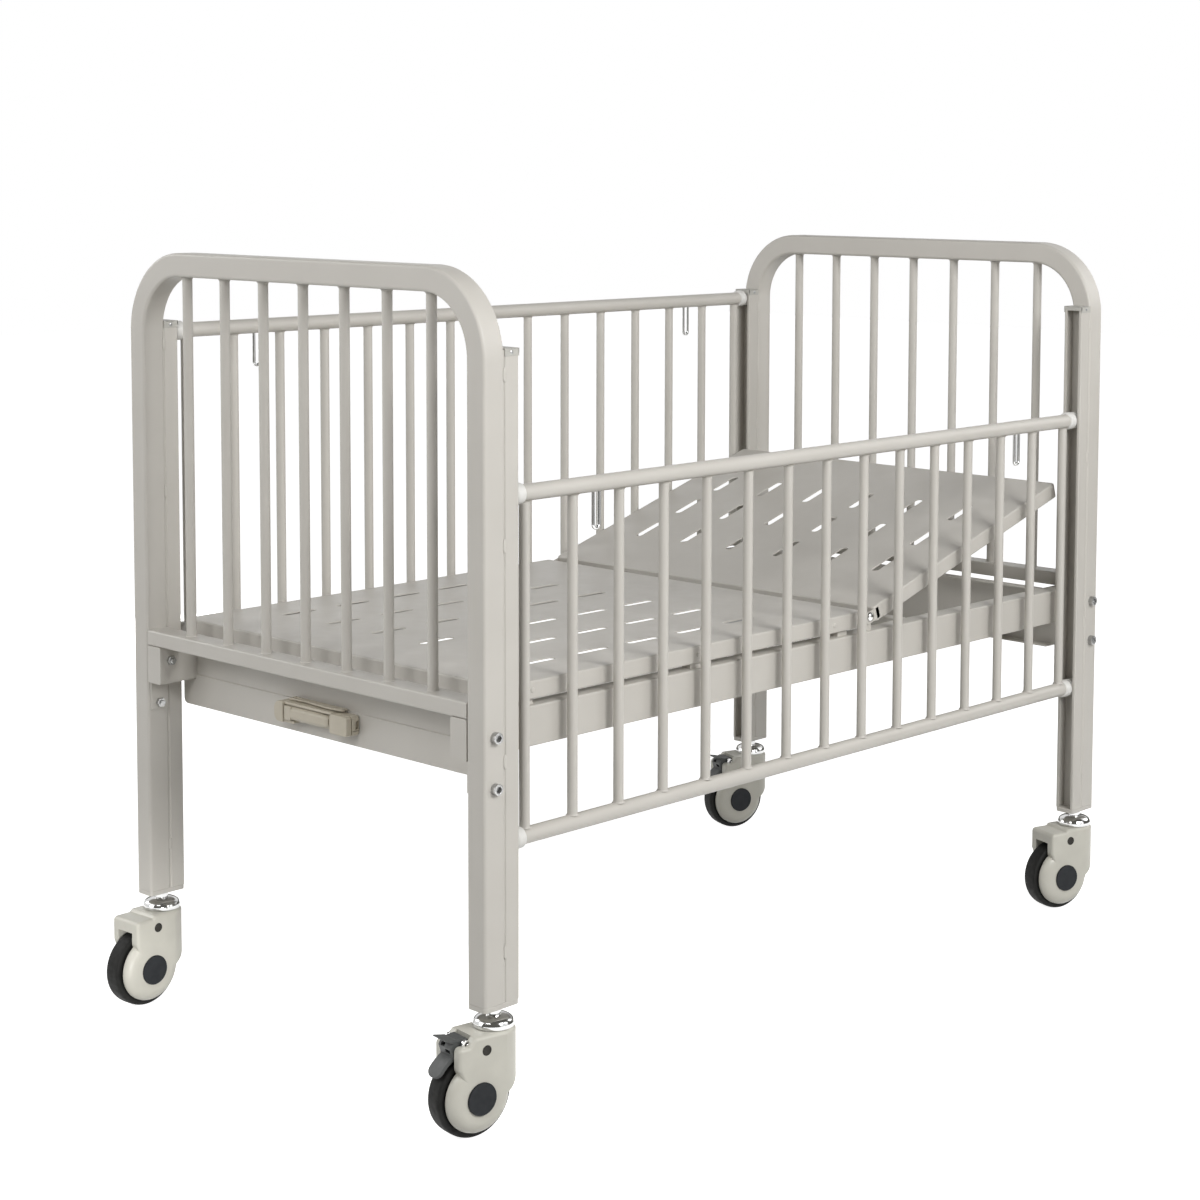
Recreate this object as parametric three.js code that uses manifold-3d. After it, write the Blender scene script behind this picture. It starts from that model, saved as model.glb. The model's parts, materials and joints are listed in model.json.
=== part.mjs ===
// Pediatric hospital cot: welded steel end arches, two sliding guards, a slotted deck
// with a crank-raised backrest, and four swivel casters.
// Millimetres, +Z up, +X towards the head end, -Y the near side.
import * as THREE from 'three';
import { mergeVertices } from 'three/addons/utils/BufferGeometryUtils.js';
import ManifoldModule from 'manifold-3d';

const wasm = await ManifoldModule();
wasm.setup();

// Fits
const GAP = 0.3; // between pieces that touch
const RUN = 0.3; // radial running clearance of pins and shafts
const OVER = 1; // reach of a joined solid into its neighbour, and of a cut past a face

// End frames: one bent tube is both legs and the top
const FRAME_LENGTH = 1556; // over the two arches
const FRAME_WIDTH = 848; // over the legs
const LEG_HEIGHT = 1064; // underside of the legs to the top of the arch
const TUBE_ALONG = 40; // tube section along the cot
const TUBE_ACROSS = 38; // tube section across the cot
const TUBE_WALL = 2;
const TUBE_EDGE = 3; // corner radius of the tube
const ARCH_RADIUS = 130; // outside of the bend
const RAIL_RISE = 446; // top of the cross rail above the underside of the legs
const RAIL_HEIGHT = 25;
const END_PITCH = 97.5;
const END_SPINDLE_R = 8;
const END_SPINDLE_GAP = 0.9; // under the arch, where its bend begins

// Guide channels on the inward faces of the legs
const CHANNEL_DEPTH = 27;
const CHANNEL_WALL = 2;
const CHANNEL_SLOT = 16;
const CHANNEL_DROP = 108; // top of the channel below the top of the arch
const LATCH_HOLE_R = 5;
const FOOT_PLATE = 8; // under the leg and its channel, takes the caster stem
const STOP_PLATE = 6; // across the channel, under a lowered guard

// Deck frame
const BEAM_HEIGHT = 61; // side beams
const BEAM_THICK = 34;
const BEAM_WALL = 2;
const DRAIN_R = 4;
const TONGUE = { along: 32, thick: 3, drop: 46 }; // lower bolt plate at each beam end
const END_BEAM_INSET = 70; // front of the end beam behind the front of the legs
const END_BEAM_HEIGHT = 105.7;
const END_BEAM_LOWER = 52; // foot of the end beam to the fold line across its face
const END_BEAM_STEP = 2;
const END_BEAM_SHEET = 2.5;
const END_BEAM_FLANGE = 26;
const END_BEAM_CORNER = 8;

// Deck panels: folded sheet pans
const DECK_RISE = 11; // deck's top face above the cross rails
const DECK_FLANGE = 28;
const DECK_SHEET = 2;
const DECK_LIP = 12; // return lip under the flange
const DECK_SIDE_GAP = 2; // deck panels inside the legs
const DECK_CORNER = 6;
const DECK_BEND = 3; // radius of the folds
const DECK_FRONT_GAP = 2; // deck front behind the end beam's front
const PAD = { count: 3, along: 24, across: 18, inset: 54 }; // spacers between side beam and deck
const SLOT_LENGTH = 70;
const SLOT_WIDTH = 14;
const SLOT_PITCH = 115; // both ways
const SLOT_MARGIN = 90; // middle of a slot to the panel's edge, at least
const FOOT_SLOT_FIRST = 228; // from the hinge line towards the foot
const BACK_SLOT_FIRST = 175; // from the hinge line towards the head

// Backrest and its hinge
const HINGE_FROM_HEAD = 633; // hinge line to the head end of the frame
const HINGE_DROP = 12; // hinge line below the panel's top face
const BACK_START = 12; // panel's edge beyond the hinge line
const BACK_LENGTH = 575; // hinge line to the head edge
const BACK_REST_DEG = 16.8; // as photographed
const BACK_MAX_DEG = 71.4;
const FOOT_DECK_GAP = 13; // foot deck's edge before the hinge line
const HINGE_EAR_R = 12;
const HINGE_PIN_R = 4;
const HINGE_HEAD = { r: 8, crownR: 6.4, side: 3.5, thick: 5 };
const LUG = { r: 8, foot: 11, thick: 4, inset: 4 }; // plate on the side beam, inside the flange

// Crank drive: a square bar slides in the screw's hollow end
const SCREW_Y = -46;
const SCREW_DROP = 95; // screw axis below the hinge line
const SCREW_R = 8;
const SCREW_PAST_HINGE = 123; // head end of the screw beyond the hinge line
const SLEEVE = { r: 9.5, length: 126, floor: 6, proud: 0.7 }; // hollow front end of the screw
const DRIVE_BAR = { side: 10, length: 106, sunk: 4 };
const NUT = { along: 36, across: 30, high: 30, corner: 4 };
const TRUNNION_R = 5;
const TRUNNION_PLAY = 0.8; // radial, in the lever's slot
const LEVER = { thick: 5, gap: 1.5, rim: 22, reach: 120, tip: 12, neck: 40, throat: 55, bridge: 3, heel: 17 };
const LEVER_SLOT_STEPS = 16;
const CROSS_MEMBER = { pastHinge: 130, side: 25, wall: 2 };
const HANGER = { thick: 6, across: 40, tail: 2 }; // the screw's rear bearing

// Crank handle, stowed along the foot end beam
const CRANK_DEPTH = 26; // along X
const CRANK_BEAM_GAP = 1; // crank in front of the end beam
const CRANK_EDGE = 2; // rounded edges of the hub and the grip
const CRANK_HUB = { across: 42, high: 31, corner: 4 };
const CRANK_REACH = 157; // screw axis to the outer end of the arm
const ARM = { plate: 6, ear: 4.5, corner: 4, tipR: 10, capInset: 3, capBack: 1.5, ledgeBack: 4.5 };
const ARM_LIP = { deep: 9, rise: 5, inset: 6 }; // raised along the back of the arm's ledge
const GRIP = { thick: 17, high: 22, length: 97, corner: 5, pinR: 3, pivotReach: 124, play: 1 };

// Drop guards
const GUARD_RAIL_R = 12.5;
const GUARD_RAIL_WALL = 1.8;
const GUARD_PITCH = 97.5;
const GUARD_SPINDLE_R = 8;
const GUARD_RAIL_SPACING = 501;
const GUARD_TOP_DROP = 24; // top rail of a raised guard below the top of the channels
const GUARD_TRAVEL = 193;
const BUSH = { plug: 14, collar: 10, sleeve: 6, sleeveWall: 2.8, edge: 1.5, neckR: 7, headR: 15 };
const BUSH_FIT = { wall: 2, lip: 0.8, face: 3 }; // head to the channel's back, lips and collar to its face

// Latch rods in the guards' top rails
const LATCH_R = 4;
const LATCH_FROM_END = 1.5; // handle's place, in spindle gaps from the end spindle
const LATCH_HANDLE_DROP = 98;
const LATCH_TRAVEL = 12;
const LATCH_TIP = { r: 2.4, taper: 3 };
const LATCH_SLOT_WIDTH = 9.6;
const SPRING = { wireR: 1, coilR: 6.4, turns: 4, length: 40, steps: 5 };

// Casters
const CASTER_TRAIL = 42; // swivel axis to axle
const CASTER_WIDTH = 66;
const WHEEL_R = 62.5;
const WHEEL_WIDTH = 30;
const WHEEL = { hubR: 24, hubEdge: 3, hubInset: 1, tread: 12, wall: 5, recess: 4, crown: 3 };
const WHEEL_SPACE = 36; // slot in the housing
const WHEEL_CLEAR = 4; // housing above the tyre
const COVER_INSET = 7.5; // disc covers inside the tyre's edge
const COVER_RIM = 14; // rounding of the disc covers' rims
const BODY_EDGE = 4;
const HOUSING_RISE = 27.5; // housing's top above the tyre
const HOOD = { tail: 33, step: 3, ahead: 4, run: 6, corner: 6 }; // plain housing: a lip over the tyre
const CHEEKS = { tail: 42, step: 11, ahead: -9, run: 13, corner: 6 }; // braked housing: beside the pedal
const NOSE = { foot: 22, taperAhead: 50, taperDrop: 4 }; // front edge, and where it meets the disc cover
const BODY_FOOT = { tail: 38, reach: 20 }; // tail corner above the axle, foot on the disc
const AXLE_R = 6;
const AXLE_CAP = { r: 25, thick: 3, edge: 1 };
const KING_PIN = { r: 6, deep: 17 };
const DOME = { r: 30, high: 18, rim: 5 };
const STEM_R = 11;
const STEM_SHOW = 9.5; // stem between the dome and the leg
const PEDAL = { width: 33, clear: 5.5, thick: 6, lowDeg: 150, highDeg: 108 };
const PEDAL_PIVOT = { back: 18, rise: 17.5, hubR: 7, hubGap: 3, pinR: 3, earR: 8, earThick: 5, earSunk: 3 };
const PEDAL_TAB = { reach: 64, rise: 12, thick: 4, root: 22, bend: 30, heel: 23 };
const CASTERS = [
  { name: 'near_foot', end: -1, side: -1, yawDeg: -9, brake: true },
  { name: 'far_foot', end: -1, side: 1, yawDeg: 3, brake: false },
  { name: 'near_head', end: 1, side: -1, yawDeg: -18, brake: false },
  { name: 'far_head', end: 1, side: 1, yawDeg: -18, brake: true },
];

// Facets
const ROUND = { rail: 16, spindle: 8, pin: 10, wheel: 20, disc: 24, cap: 14, dome: 12, bush: 10, wire: 4 };
const BEND_STEPS = 6; // facets of a bend
const SPACE_STEPS = 10; // half of the facets of the wheel's slot
const RIM_ANGLES = [0, 45, 90]; // degrees round a disc cover's rim
const DOME_ANGLES = [0, 40, 90]; // degrees up the caster dome

// Worked-out places
const END_X = FRAME_LENGTH / 2;
const SIDE_Y = FRAME_WIDTH / 2;
const AXLE_Z = WHEEL_R;
const COVER_R = WHEEL_R - COVER_INSET;
const HOUSING_TOP = WHEEL_R + HOUSING_RISE; // above the axle
const HOUSING_TOP_Z = AXLE_Z + HOUSING_TOP;
const PEDAL_PIVOT_UP = WHEEL_R + PEDAL_PIVOT.rise; // above the axle
const LEG_FOOT_Z = HOUSING_TOP_Z + DOME.high + STEM_SHOW;
const RAIL_TOP_Z = LEG_FOOT_Z + RAIL_RISE;
const ARCH_TOP_Z = LEG_FOOT_Z + LEG_HEIGHT;
const LEG_X = END_X - TUBE_ALONG / 2;
const LEG_Y = SIDE_Y - TUBE_ACROSS / 2;
const INNER_Y = SIDE_Y - TUBE_ACROSS; // inner faces of the legs
const CHANNEL_BACK_X = END_X - TUBE_ALONG - GAP;
const CHANNEL_FACE_X = CHANNEL_BACK_X - CHANNEL_DEPTH;
const CHANNEL_TOP_Z = ARCH_TOP_Z - CHANNEL_DROP;
const BEAM_TOP_Z = RAIL_TOP_Z - RAIL_HEIGHT - GAP;
const BEAM_FOOT_Z = BEAM_TOP_Z - BEAM_HEIGHT;
const BEAM_OUT_Y = INNER_Y - GAP;
const BEAM_IN_Y = BEAM_OUT_Y - BEAM_THICK;
const END_BEAM_X = END_X - END_BEAM_INSET;
const END_BEAM_FOOT_Z = BEAM_TOP_Z - END_BEAM_HEIGHT;
const END_BEAM_STEP_Z = END_BEAM_FOOT_Z + END_BEAM_LOWER;
const DECK_TOP_Z = RAIL_TOP_Z + DECK_RISE;
const DECK_FOOT_Z = DECK_TOP_Z - DECK_FLANGE;
const DECK_HALF_WIDTH = INNER_Y - DECK_SIDE_GAP;
const FLANGE_IN_Y = DECK_HALF_WIDTH - DECK_SHEET;
const HINGE_X = END_X - HINGE_FROM_HEAD;
const HINGE_Z = DECK_TOP_Z - HINGE_DROP;
const DECK_FRONT_X = -END_BEAM_X + DECK_FRONT_GAP;
const DECK_BACK_X = HINGE_X - FOOT_DECK_GAP;
const SCREW_Z = HINGE_Z - SCREW_DROP;
const SCREW_END_X = HINGE_X + SCREW_PAST_HINGE;
const CROSS_MEMBER_X = HINGE_X + CROSS_MEMBER.pastHinge;
const REST = THREE.MathUtils.degToRad(BACK_REST_DEG);
const FULL = THREE.MathUtils.degToRad(BACK_MAX_DEG);
const NUT_PER_RAD = SCREW_DROP; // nut travel for one radian of backrest
const nutOffset = (angle) => NUT_PER_RAD * (angle - FULL / 2); // pin is under the hinge at half range
const NUT_X = HINGE_X + nutOffset(REST);
const CRANK_BACK_X = -END_BEAM_X - CRANK_BEAM_GAP;
const CRANK_FACE_X = CRANK_BACK_X - CRANK_DEPTH;
const GRIP_X = CRANK_FACE_X + GRIP.thick / 2;
const GRIP_PIVOT_Y = SCREW_Y + GRIP.pivotReach;
const GUARD_HIGH_Z = CHANNEL_TOP_Z - GUARD_TOP_DROP; // top rail of a raised guard
const GUARD_LOW_Z = GUARD_HIGH_Z - GUARD_TRAVEL; // top rail of a lowered guard
const RAIL_BORE_R = GUARD_RAIL_R - GUARD_RAIL_WALL;
const BUSH_HEAD_X = CHANNEL_BACK_X - CHANNEL_WALL - BUSH_FIT.wall;
const BUSH_LIP_X = CHANNEL_FACE_X + CHANNEL_WALL + BUSH_FIT.lip;
const COLLAR_X = CHANNEL_FACE_X - BUSH_FIT.face;
const RAIL_END_X = COLLAR_X - BUSH.collar - GAP;
const STOP_TOP_Z = GUARD_LOW_Z - GUARD_RAIL_SPACING - BUSH.headR - GAP;
const CASTER_X = (END_X + CHANNEL_FACE_X) / 2; // centred under the leg and its channel

// As many evenly spaced places as the span holds, about its middle
function spread(span, pitch) {
  const count = Math.floor(span / pitch) + 1;
  return Array.from({ length: count }, (_, i) => (i - (count - 1) / 2) * pitch);
}

const END_SPINDLES = spread(2 * (SIDE_Y - ARCH_RADIUS), END_PITCH);
const GUARD_SPINDLES = spread(2 * (RAIL_END_X - BUSH.sleeve - GUARD_SPINDLE_R - GAP), GUARD_PITCH);
const SLOT_ROWS = spread(2 * (DECK_HALF_WIDTH - SLOT_MARGIN), SLOT_PITCH);
const LATCH_HANDLE_X = Math.max(...GUARD_SPINDLES) - LATCH_FROM_END * GUARD_PITCH;

// Materials
const paint = new THREE.MeshStandardMaterial({ color: 0xc9c6bb, roughness: 0.42, metalness: 0.0 });
const chrome = new THREE.MeshStandardMaterial({ color: 0xd8d9da, roughness: 0.12, metalness: 1.0 });
const steel = new THREE.MeshStandardMaterial({ color: 0x9a9c9e, roughness: 0.35, metalness: 1.0 });
const nylon = new THREE.MeshStandardMaterial({ color: 0xf0efea, roughness: 0.45, metalness: 0.0 });
const cover = new THREE.MeshStandardMaterial({ color: 0xd7d4c8, roughness: 0.38, metalness: 0.0 });
const tyre = new THREE.MeshStandardMaterial({ color: 0x1b1b1a, roughness: 0.7, metalness: 0.0 });
const slate = new THREE.MeshStandardMaterial({ color: 0x34373c, roughness: 0.5, metalness: 0.0 });
const pedalGrey = new THREE.MeshStandardMaterial({ color: 0x55585a, roughness: 0.5, metalness: 0.0 });
const beige = new THREE.MeshStandardMaterial({ color: 0xbeb4a0, roughness: 0.5, metalness: 0.0 });

const cot = new THREE.Group();

// Solid helpers: geometry to solid, solid to a named mesh
function solidOf(geometry) {
  geometry.deleteAttribute('normal');
  geometry.deleteAttribute('uv');
  const merged = mergeVertices(geometry, 1e-4);
  const index = merged.index.array;
  const triangles = [];
  for (let i = 0; i < index.length; i += 3) {
    const [a, b, c] = [index[i], index[i + 1], index[i + 2]];
    if (a !== b && b !== c && c !== a) triangles.push(a, b, c);
  }
  const vertProperties = new Float32Array(merged.attributes.position.array);
  const triVerts = new Uint32Array(triangles);
  return new wasm.Manifold(new wasm.Mesh({ numProp: 3, vertProperties, triVerts }));
}

function geometryOf(solid) {
  const mesh = solid.getMesh();
  const geometry = new THREE.BufferGeometry();
  geometry.setAttribute('position', new THREE.BufferAttribute(new Float32Array(mesh.vertProperties), 3));
  geometry.setIndex(new THREE.BufferAttribute(new Uint32Array(mesh.triVerts), 1));
  return geometry;
}

function place(name, solid, material, parent = cot) {
  const mesh = new THREE.Mesh(geometryOf(solid), material);
  mesh.name = name;
  parent.add(mesh);
}

const join = (solids) => solids.reduce((sum, next) => sum.add(next));
const cut = (solid, tools) => tools.reduce((rest, tool) => rest.subtract(tool), solid);
const rising = (a, b) => [Math.min(a, b), Math.max(a, b)];

// Extrusions along the three axes. Outlines are (y, z), (x, z) and (x, y); an arc has `quarter` facets.
const AXES = { x: new THREE.Vector3(1, 0, 0), y: new THREE.Vector3(0, 1, 0), z: new THREE.Vector3(0, 0, 1) };
const FROM_YZ = new THREE.Matrix4().makeBasis(AXES.y, AXES.z, AXES.x);
const FROM_XZ = new THREE.Matrix4().makeBasis(AXES.x, AXES.z, AXES.y.clone().negate());

function extrude(shape, depth, edge, edgeSteps, quarter) {
  const bevel = { bevelEnabled: edge > 0, bevelThickness: edge, bevelSize: edge, bevelOffset: -edge };
  const facets = { steps: 1, curveSegments: quarter / 2, bevelSegments: edgeSteps };
  const options = { depth: depth - 2 * edge, ...facets, ...bevel };
  return new THREE.ExtrudeGeometry(shape, options).translate(0, 0, edge);
}

function alongX(shape, from, to, edge = 0, edgeSteps = 1, quarter = 2) {
  const geometry = extrude(shape, to - from, edge, edgeSteps, quarter);
  return solidOf(geometry.applyMatrix4(FROM_YZ).translate(from, 0, 0));
}

function alongY(shape, from, to, edge = 0, edgeSteps = 1, quarter = 2) {
  const geometry = extrude(shape, to - from, edge, edgeSteps, quarter);
  return solidOf(geometry.applyMatrix4(FROM_XZ).translate(0, to, 0));
}

function alongZ(shape, from, to, edge = 0, edgeSteps = 1, quarter = 2) {
  return solidOf(extrude(shape, to - from, edge, edgeSteps, quarter).translate(0, 0, from));
}

const around = (middle, size) => [middle - size / 2, middle + size / 2];

function box(x, y, z) {
  const geometry = new THREE.BoxGeometry(x[1] - x[0], y[1] - y[0], z[1] - z[0]);
  return solidOf(geometry.translate((x[0] + x[1]) / 2, (y[0] + y[1]) / 2, (z[0] + z[1]) / 2));
}

// Rounded rectangle about (u, v)
function roundedRect(u, v, width, height, radius) {
  const [left, right, low, high] = [u - width / 2, u + width / 2, v - height / 2, v + height / 2];
  const shape = new THREE.Shape();
  shape.moveTo(left + radius, low);
  shape.lineTo(right - radius, low);
  shape.absarc(right - radius, low + radius, radius, -Math.PI / 2, 0);
  shape.lineTo(right, high - radius);
  shape.absarc(right - radius, high - radius, radius, 0, Math.PI / 2);
  shape.lineTo(left + radius, high);
  shape.absarc(left + radius, high - radius, radius, Math.PI / 2, Math.PI);
  shape.lineTo(left, low + radius);
  shape.absarc(left + radius, low + radius, radius, Math.PI, 1.5 * Math.PI);
  return shape;
}

function polygon(points) {
  return new THREE.Shape(points.map(([u, v]) => new THREE.Vector2(u, v)));
}

// Round pieces: profile points are [radius, distance along the axis]
function turned(profile, segments, axis, x, y, z) {
  const points = profile.map(([r, along]) => new THREE.Vector2(r, along));
  const geometry = new THREE.LatheGeometry(points, segments);
  const turn = new THREE.Quaternion().setFromUnitVectors(AXES.y, AXES[axis]);
  return solidOf(geometry.applyQuaternion(turn).translate(x, y, z));
}

function rod(radius, from, to, segments, axis, x, y, z) {
  return turned([[0, from], [radius, from], [radius, to], [0, to]], segments, axis, x, y, z);
}

// A hole's facets lie outside its radius, so that a round pin clears them
function bore(radius, from, to, segments, axis, x, y, z) {
  return rod(radius / Math.cos(Math.PI / segments), from, to, segments, axis, x, y, z);
}

// End arches: an inverted U of hollow rectangular tube, open at the feet
function archOutline(inset) {
  const out = SIDE_Y - inset;
  const inn = INNER_Y + inset;
  const foot = LEG_FOOT_Z + FOOT_PLATE + GAP - (inset > 0 ? OVER : 0);
  const bend = SIDE_Y - ARCH_RADIUS;
  const bendZ = ARCH_TOP_Z - ARCH_RADIUS;
  const shape = new THREE.Shape();
  shape.moveTo(out, foot);
  shape.lineTo(out, bendZ);
  shape.absarc(bend, bendZ, ARCH_RADIUS - inset, 0, Math.PI / 2);
  shape.absarc(-bend, bendZ, ARCH_RADIUS - inset, Math.PI / 2, Math.PI);
  shape.lineTo(-out, foot);
  shape.lineTo(-inn, foot);
  shape.absarc(-bend, bendZ, ARCH_RADIUS - TUBE_ACROSS + inset, Math.PI, Math.PI / 2, true);
  shape.absarc(bend, bendZ, ARCH_RADIUS - TUBE_ACROSS + inset, Math.PI / 2, 0, true);
  shape.lineTo(inn, foot);
  return shape;
}

function archTube(end) {
  const from = end < 0 ? -END_X : END_X - TUBE_ALONG;
  const to = from + TUBE_ALONG;
  const skin = alongX(archOutline(0), from, to, TUBE_EDGE, 1, BEND_STEPS);
  const inside = alongX(archOutline(TUBE_WALL), from + TUBE_WALL, to - TUBE_WALL, 0, 1, BEND_STEPS);
  return skin.subtract(inside);
}

// Cross rail with upright spindles, between the legs and under the arch
function spindleRail(end) {
  const length = 2 * (INNER_Y - GAP);
  const centreZ = RAIL_TOP_Z - RAIL_HEIGHT / 2;
  const section = roundedRect(end * LEG_X, centreZ, TUBE_ALONG, RAIL_HEIGHT, TUBE_EDGE);
  const pieces = [alongY(section, -length / 2, length / 2)];
  const top = ARCH_TOP_Z - TUBE_ACROSS - END_SPINDLE_GAP;
  for (const y of END_SPINDLES) {
    pieces.push(rod(END_SPINDLE_R, RAIL_TOP_Z - OVER, top, ROUND.spindle, 'z', end * LEG_X, y, 0));
  }
  return join(pieces);
}

// Guide channel: C section with a stop plate under the lowered guard and the leg's foot plate
function guideChannel(end, side) {
  const half = TUBE_ACROSS / 2;
  const wall = CHANNEL_WALL;
  const slot = CHANNEL_SLOT / 2;
  const deep = CHANNEL_DEPTH;
  const outline = [[0, half], [0, -half], [deep, -half], [deep, -slot], [deep - wall, -slot]];
  outline.push([deep - wall, wall - half], [wall, wall - half], [wall, half - wall]);
  outline.push([deep - wall, half - wall], [deep - wall, slot], [deep, slot], [deep, half]);
  const toWorld = ([d, y]) => [end * (CHANNEL_BACK_X - d), side * LEG_Y + y];
  const body = alongZ(polygon(outline.map(toWorld)), LEG_FOOT_Z, CHANNEL_TOP_Z);
  const y = side * LEG_Y;
  const stopX = rising(end * (CHANNEL_BACK_X - OVER), end * (CHANNEL_FACE_X + OVER));
  const stop = box(stopX, around(y, TUBE_ACROSS - 2 * OVER), [STOP_TOP_Z - STOP_PLATE, STOP_TOP_Z]);
  const back = end * CHANNEL_BACK_X;
  const holes = [GUARD_LOW_Z, GUARD_HIGH_Z].map((z) =>
    bore(LATCH_HOLE_R, -wall - OVER, wall + OVER, ROUND.spindle, 'x', back, y, z));
  const plateX = end * CASTER_X;
  const plateShape = roundedRect(plateX, y, END_X - CHANNEL_FACE_X, TUBE_ACROSS, TUBE_EDGE);
  const plate = alongZ(plateShape, LEG_FOOT_Z, LEG_FOOT_Z + FOOT_PLATE);
  const stemHole = bore(STEM_R + RUN, -OVER, FOOT_PLATE + OVER, ROUND.dome, 'z', plateX, y, LEG_FOOT_Z);
  return cut(join([body, stop, plate]), [...holes, stemHole]);
}

// Side beam: hollow tube with bolt tongues, deck pads and the backrest's hinge lug
function sideBeam(side) {
  const midY = side * (BEAM_OUT_Y + BEAM_IN_Y) / 2;
  const midZ = (BEAM_TOP_Z + BEAM_FOOT_Z) / 2;
  const skin = alongX(roundedRect(midY, midZ, BEAM_THICK, BEAM_HEIGHT, TUBE_EDGE), -END_X, END_X);
  const wall = BEAM_WALL;
  const boreSize = [BEAM_THICK - 2 * wall, BEAM_HEIGHT - 2 * wall];
  const inside = box([-END_X + wall, END_X - wall], around(midY, boreSize[0]), around(midZ, boreSize[1]));
  const drains = [-1, 1].map((end) =>
    bore(DRAIN_R, -wall, 2 * wall, ROUND.spindle, 'z', end * (END_BEAM_X - TUBE_ALONG), midY, BEAM_FOOT_Z));
  const pieces = [cut(skin, [inside, ...drains])];
  const out = side * BEAM_OUT_Y;
  const tongueY = rising(out, out - side * TONGUE.thick);
  const tongueZ = [BEAM_FOOT_Z - TONGUE.drop, midZ];
  for (const end of [-1, 1]) {
    pieces.push(box(around(end * LEG_X, TONGUE.along), tongueY, tongueZ));
  }
  const padPitch = (DECK_BACK_X - DECK_FRONT_X - 2 * PAD.inset) / (PAD.count - 1);
  for (let i = 0; i < PAD.count; i++) {
    const x = DECK_FRONT_X + PAD.inset + i * padPitch;
    pieces.push(box(around(x, PAD.along), around(midY, PAD.across), [BEAM_TOP_Z - OVER, DECK_FOOT_Z - GAP]));
  }
  pieces.push(hingeLug(side));
  return join(pieces);
}

function hingeLug(side) {
  const shape = new THREE.Shape();
  shape.moveTo(HINGE_X - LUG.foot, BEAM_TOP_Z - OVER);
  shape.lineTo(HINGE_X + LUG.foot, BEAM_TOP_Z - OVER);
  shape.absarc(HINGE_X, HINGE_Z, LUG.r, 0, Math.PI);
  const outer = side * (FLANGE_IN_Y - LUG.inset);
  const span = rising(outer, outer - side * LUG.thick);
  const pinHole = bore(HINGE_PIN_R + RUN, -SIDE_Y, SIDE_Y, ROUND.pin, 'y', HINGE_X, 0, HINGE_Z);
  return alongY(shape, ...span, 0, 1, ROUND.spindle).subtract(pinHole);
}

// End beam: folded sheet between the side beams, its lower half reaching under them
function endBeam(end, screwHole) {
  const wide = INNER_Y - OVER;
  const narrow = BEAM_IN_Y - GAP;
  const shoulder = BEAM_FOOT_Z - GAP;
  const top = BEAM_TOP_Z;
  const r = END_BEAM_CORNER;
  const lower = new THREE.Shape();
  lower.moveTo(-wide, shoulder);
  lower.lineTo(-wide, END_BEAM_FOOT_Z + r);
  lower.absarc(-wide + r, END_BEAM_FOOT_Z + r, r, Math.PI, 1.5 * Math.PI);
  lower.absarc(wide - r, END_BEAM_FOOT_Z + r, r, 1.5 * Math.PI, 2 * Math.PI);
  lower.lineTo(wide, shoulder);
  lower.lineTo(narrow, shoulder);
  lower.lineTo(narrow, END_BEAM_STEP_Z);
  lower.lineTo(-narrow, END_BEAM_STEP_Z);
  lower.lineTo(-narrow, shoulder);
  const span = (a, b) => rising(end * a, end * b);
  const face = END_BEAM_X;
  const back = face - END_BEAM_STEP - END_BEAM_SHEET;
  const plate = alongX(lower, ...span(face, back));
  const upper = box(span(face - END_BEAM_STEP, back), [-narrow, narrow], [END_BEAM_STEP_Z - OVER, top]);
  const flangeX = span(back + OVER, face - END_BEAM_FLANGE);
  const sheet = END_BEAM_SHEET;
  const footFlange = box(flangeX, [-wide + r, wide - r], [END_BEAM_FOOT_Z, END_BEAM_FOOT_Z + sheet]);
  const topFlange = box(flangeX, [-narrow, narrow], [top - sheet, top]);
  const beam = join([plate, upper, footFlange, topFlange]);
  if (!screwHole) return beam;
  const reach = END_BEAM_FLANGE;
  return beam.subtract(bore(SLEEVE.r + RUN, -reach, reach, ROUND.pin, 'x', end * face, SCREW_Y, SCREW_Z));
}

// Folded pan: top face at z = top, open below, with a return lip along the flange's foot
function pan(xFrom, xTo, top, slotColumns) {
  const midX = (xFrom + xTo) / 2;
  const length = xTo - xFrom;
  const width = 2 * DECK_HALF_WIDTH;
  const foot = top - DECK_FLANGE;
  const corner = (inset) => Math.max(OVER, DECK_CORNER - inset);
  const outline = (inset) => roundedRect(midX, 0, length - 2 * inset, width - 2 * inset, corner(inset));
  const block = alongZ(outline(0), foot - DECK_FLANGE, top, DECK_BEND);
  const below = box([xFrom - OVER, xTo + OVER], [-width, width], [foot - 2 * DECK_FLANGE, foot]);
  const hollow = alongZ(outline(DECK_SHEET), foot + DECK_SHEET, top - DECK_SHEET);
  const mouth = alongZ(outline(DECK_SHEET + DECK_LIP), foot - OVER, top - DECK_SHEET - OVER);
  const slots = [];
  for (const x of slotColumns) {
    for (const y of SLOT_ROWS) slots.push(roundedRect(x, y, SLOT_LENGTH, SLOT_WIDTH, SLOT_WIDTH / 2));
  }
  return cut(block, [below, hollow, mouth, alongZ(slots, top - DECK_SHEET - OVER, top + OVER)]);
}

function footDeck() {
  const columns = [];
  for (let x = HINGE_X - FOOT_SLOT_FIRST; x > DECK_FRONT_X + SLOT_MARGIN; x -= SLOT_PITCH) columns.push(x);
  return pan(DECK_FRONT_X, DECK_BACK_X, DECK_TOP_Z, columns);
}

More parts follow.
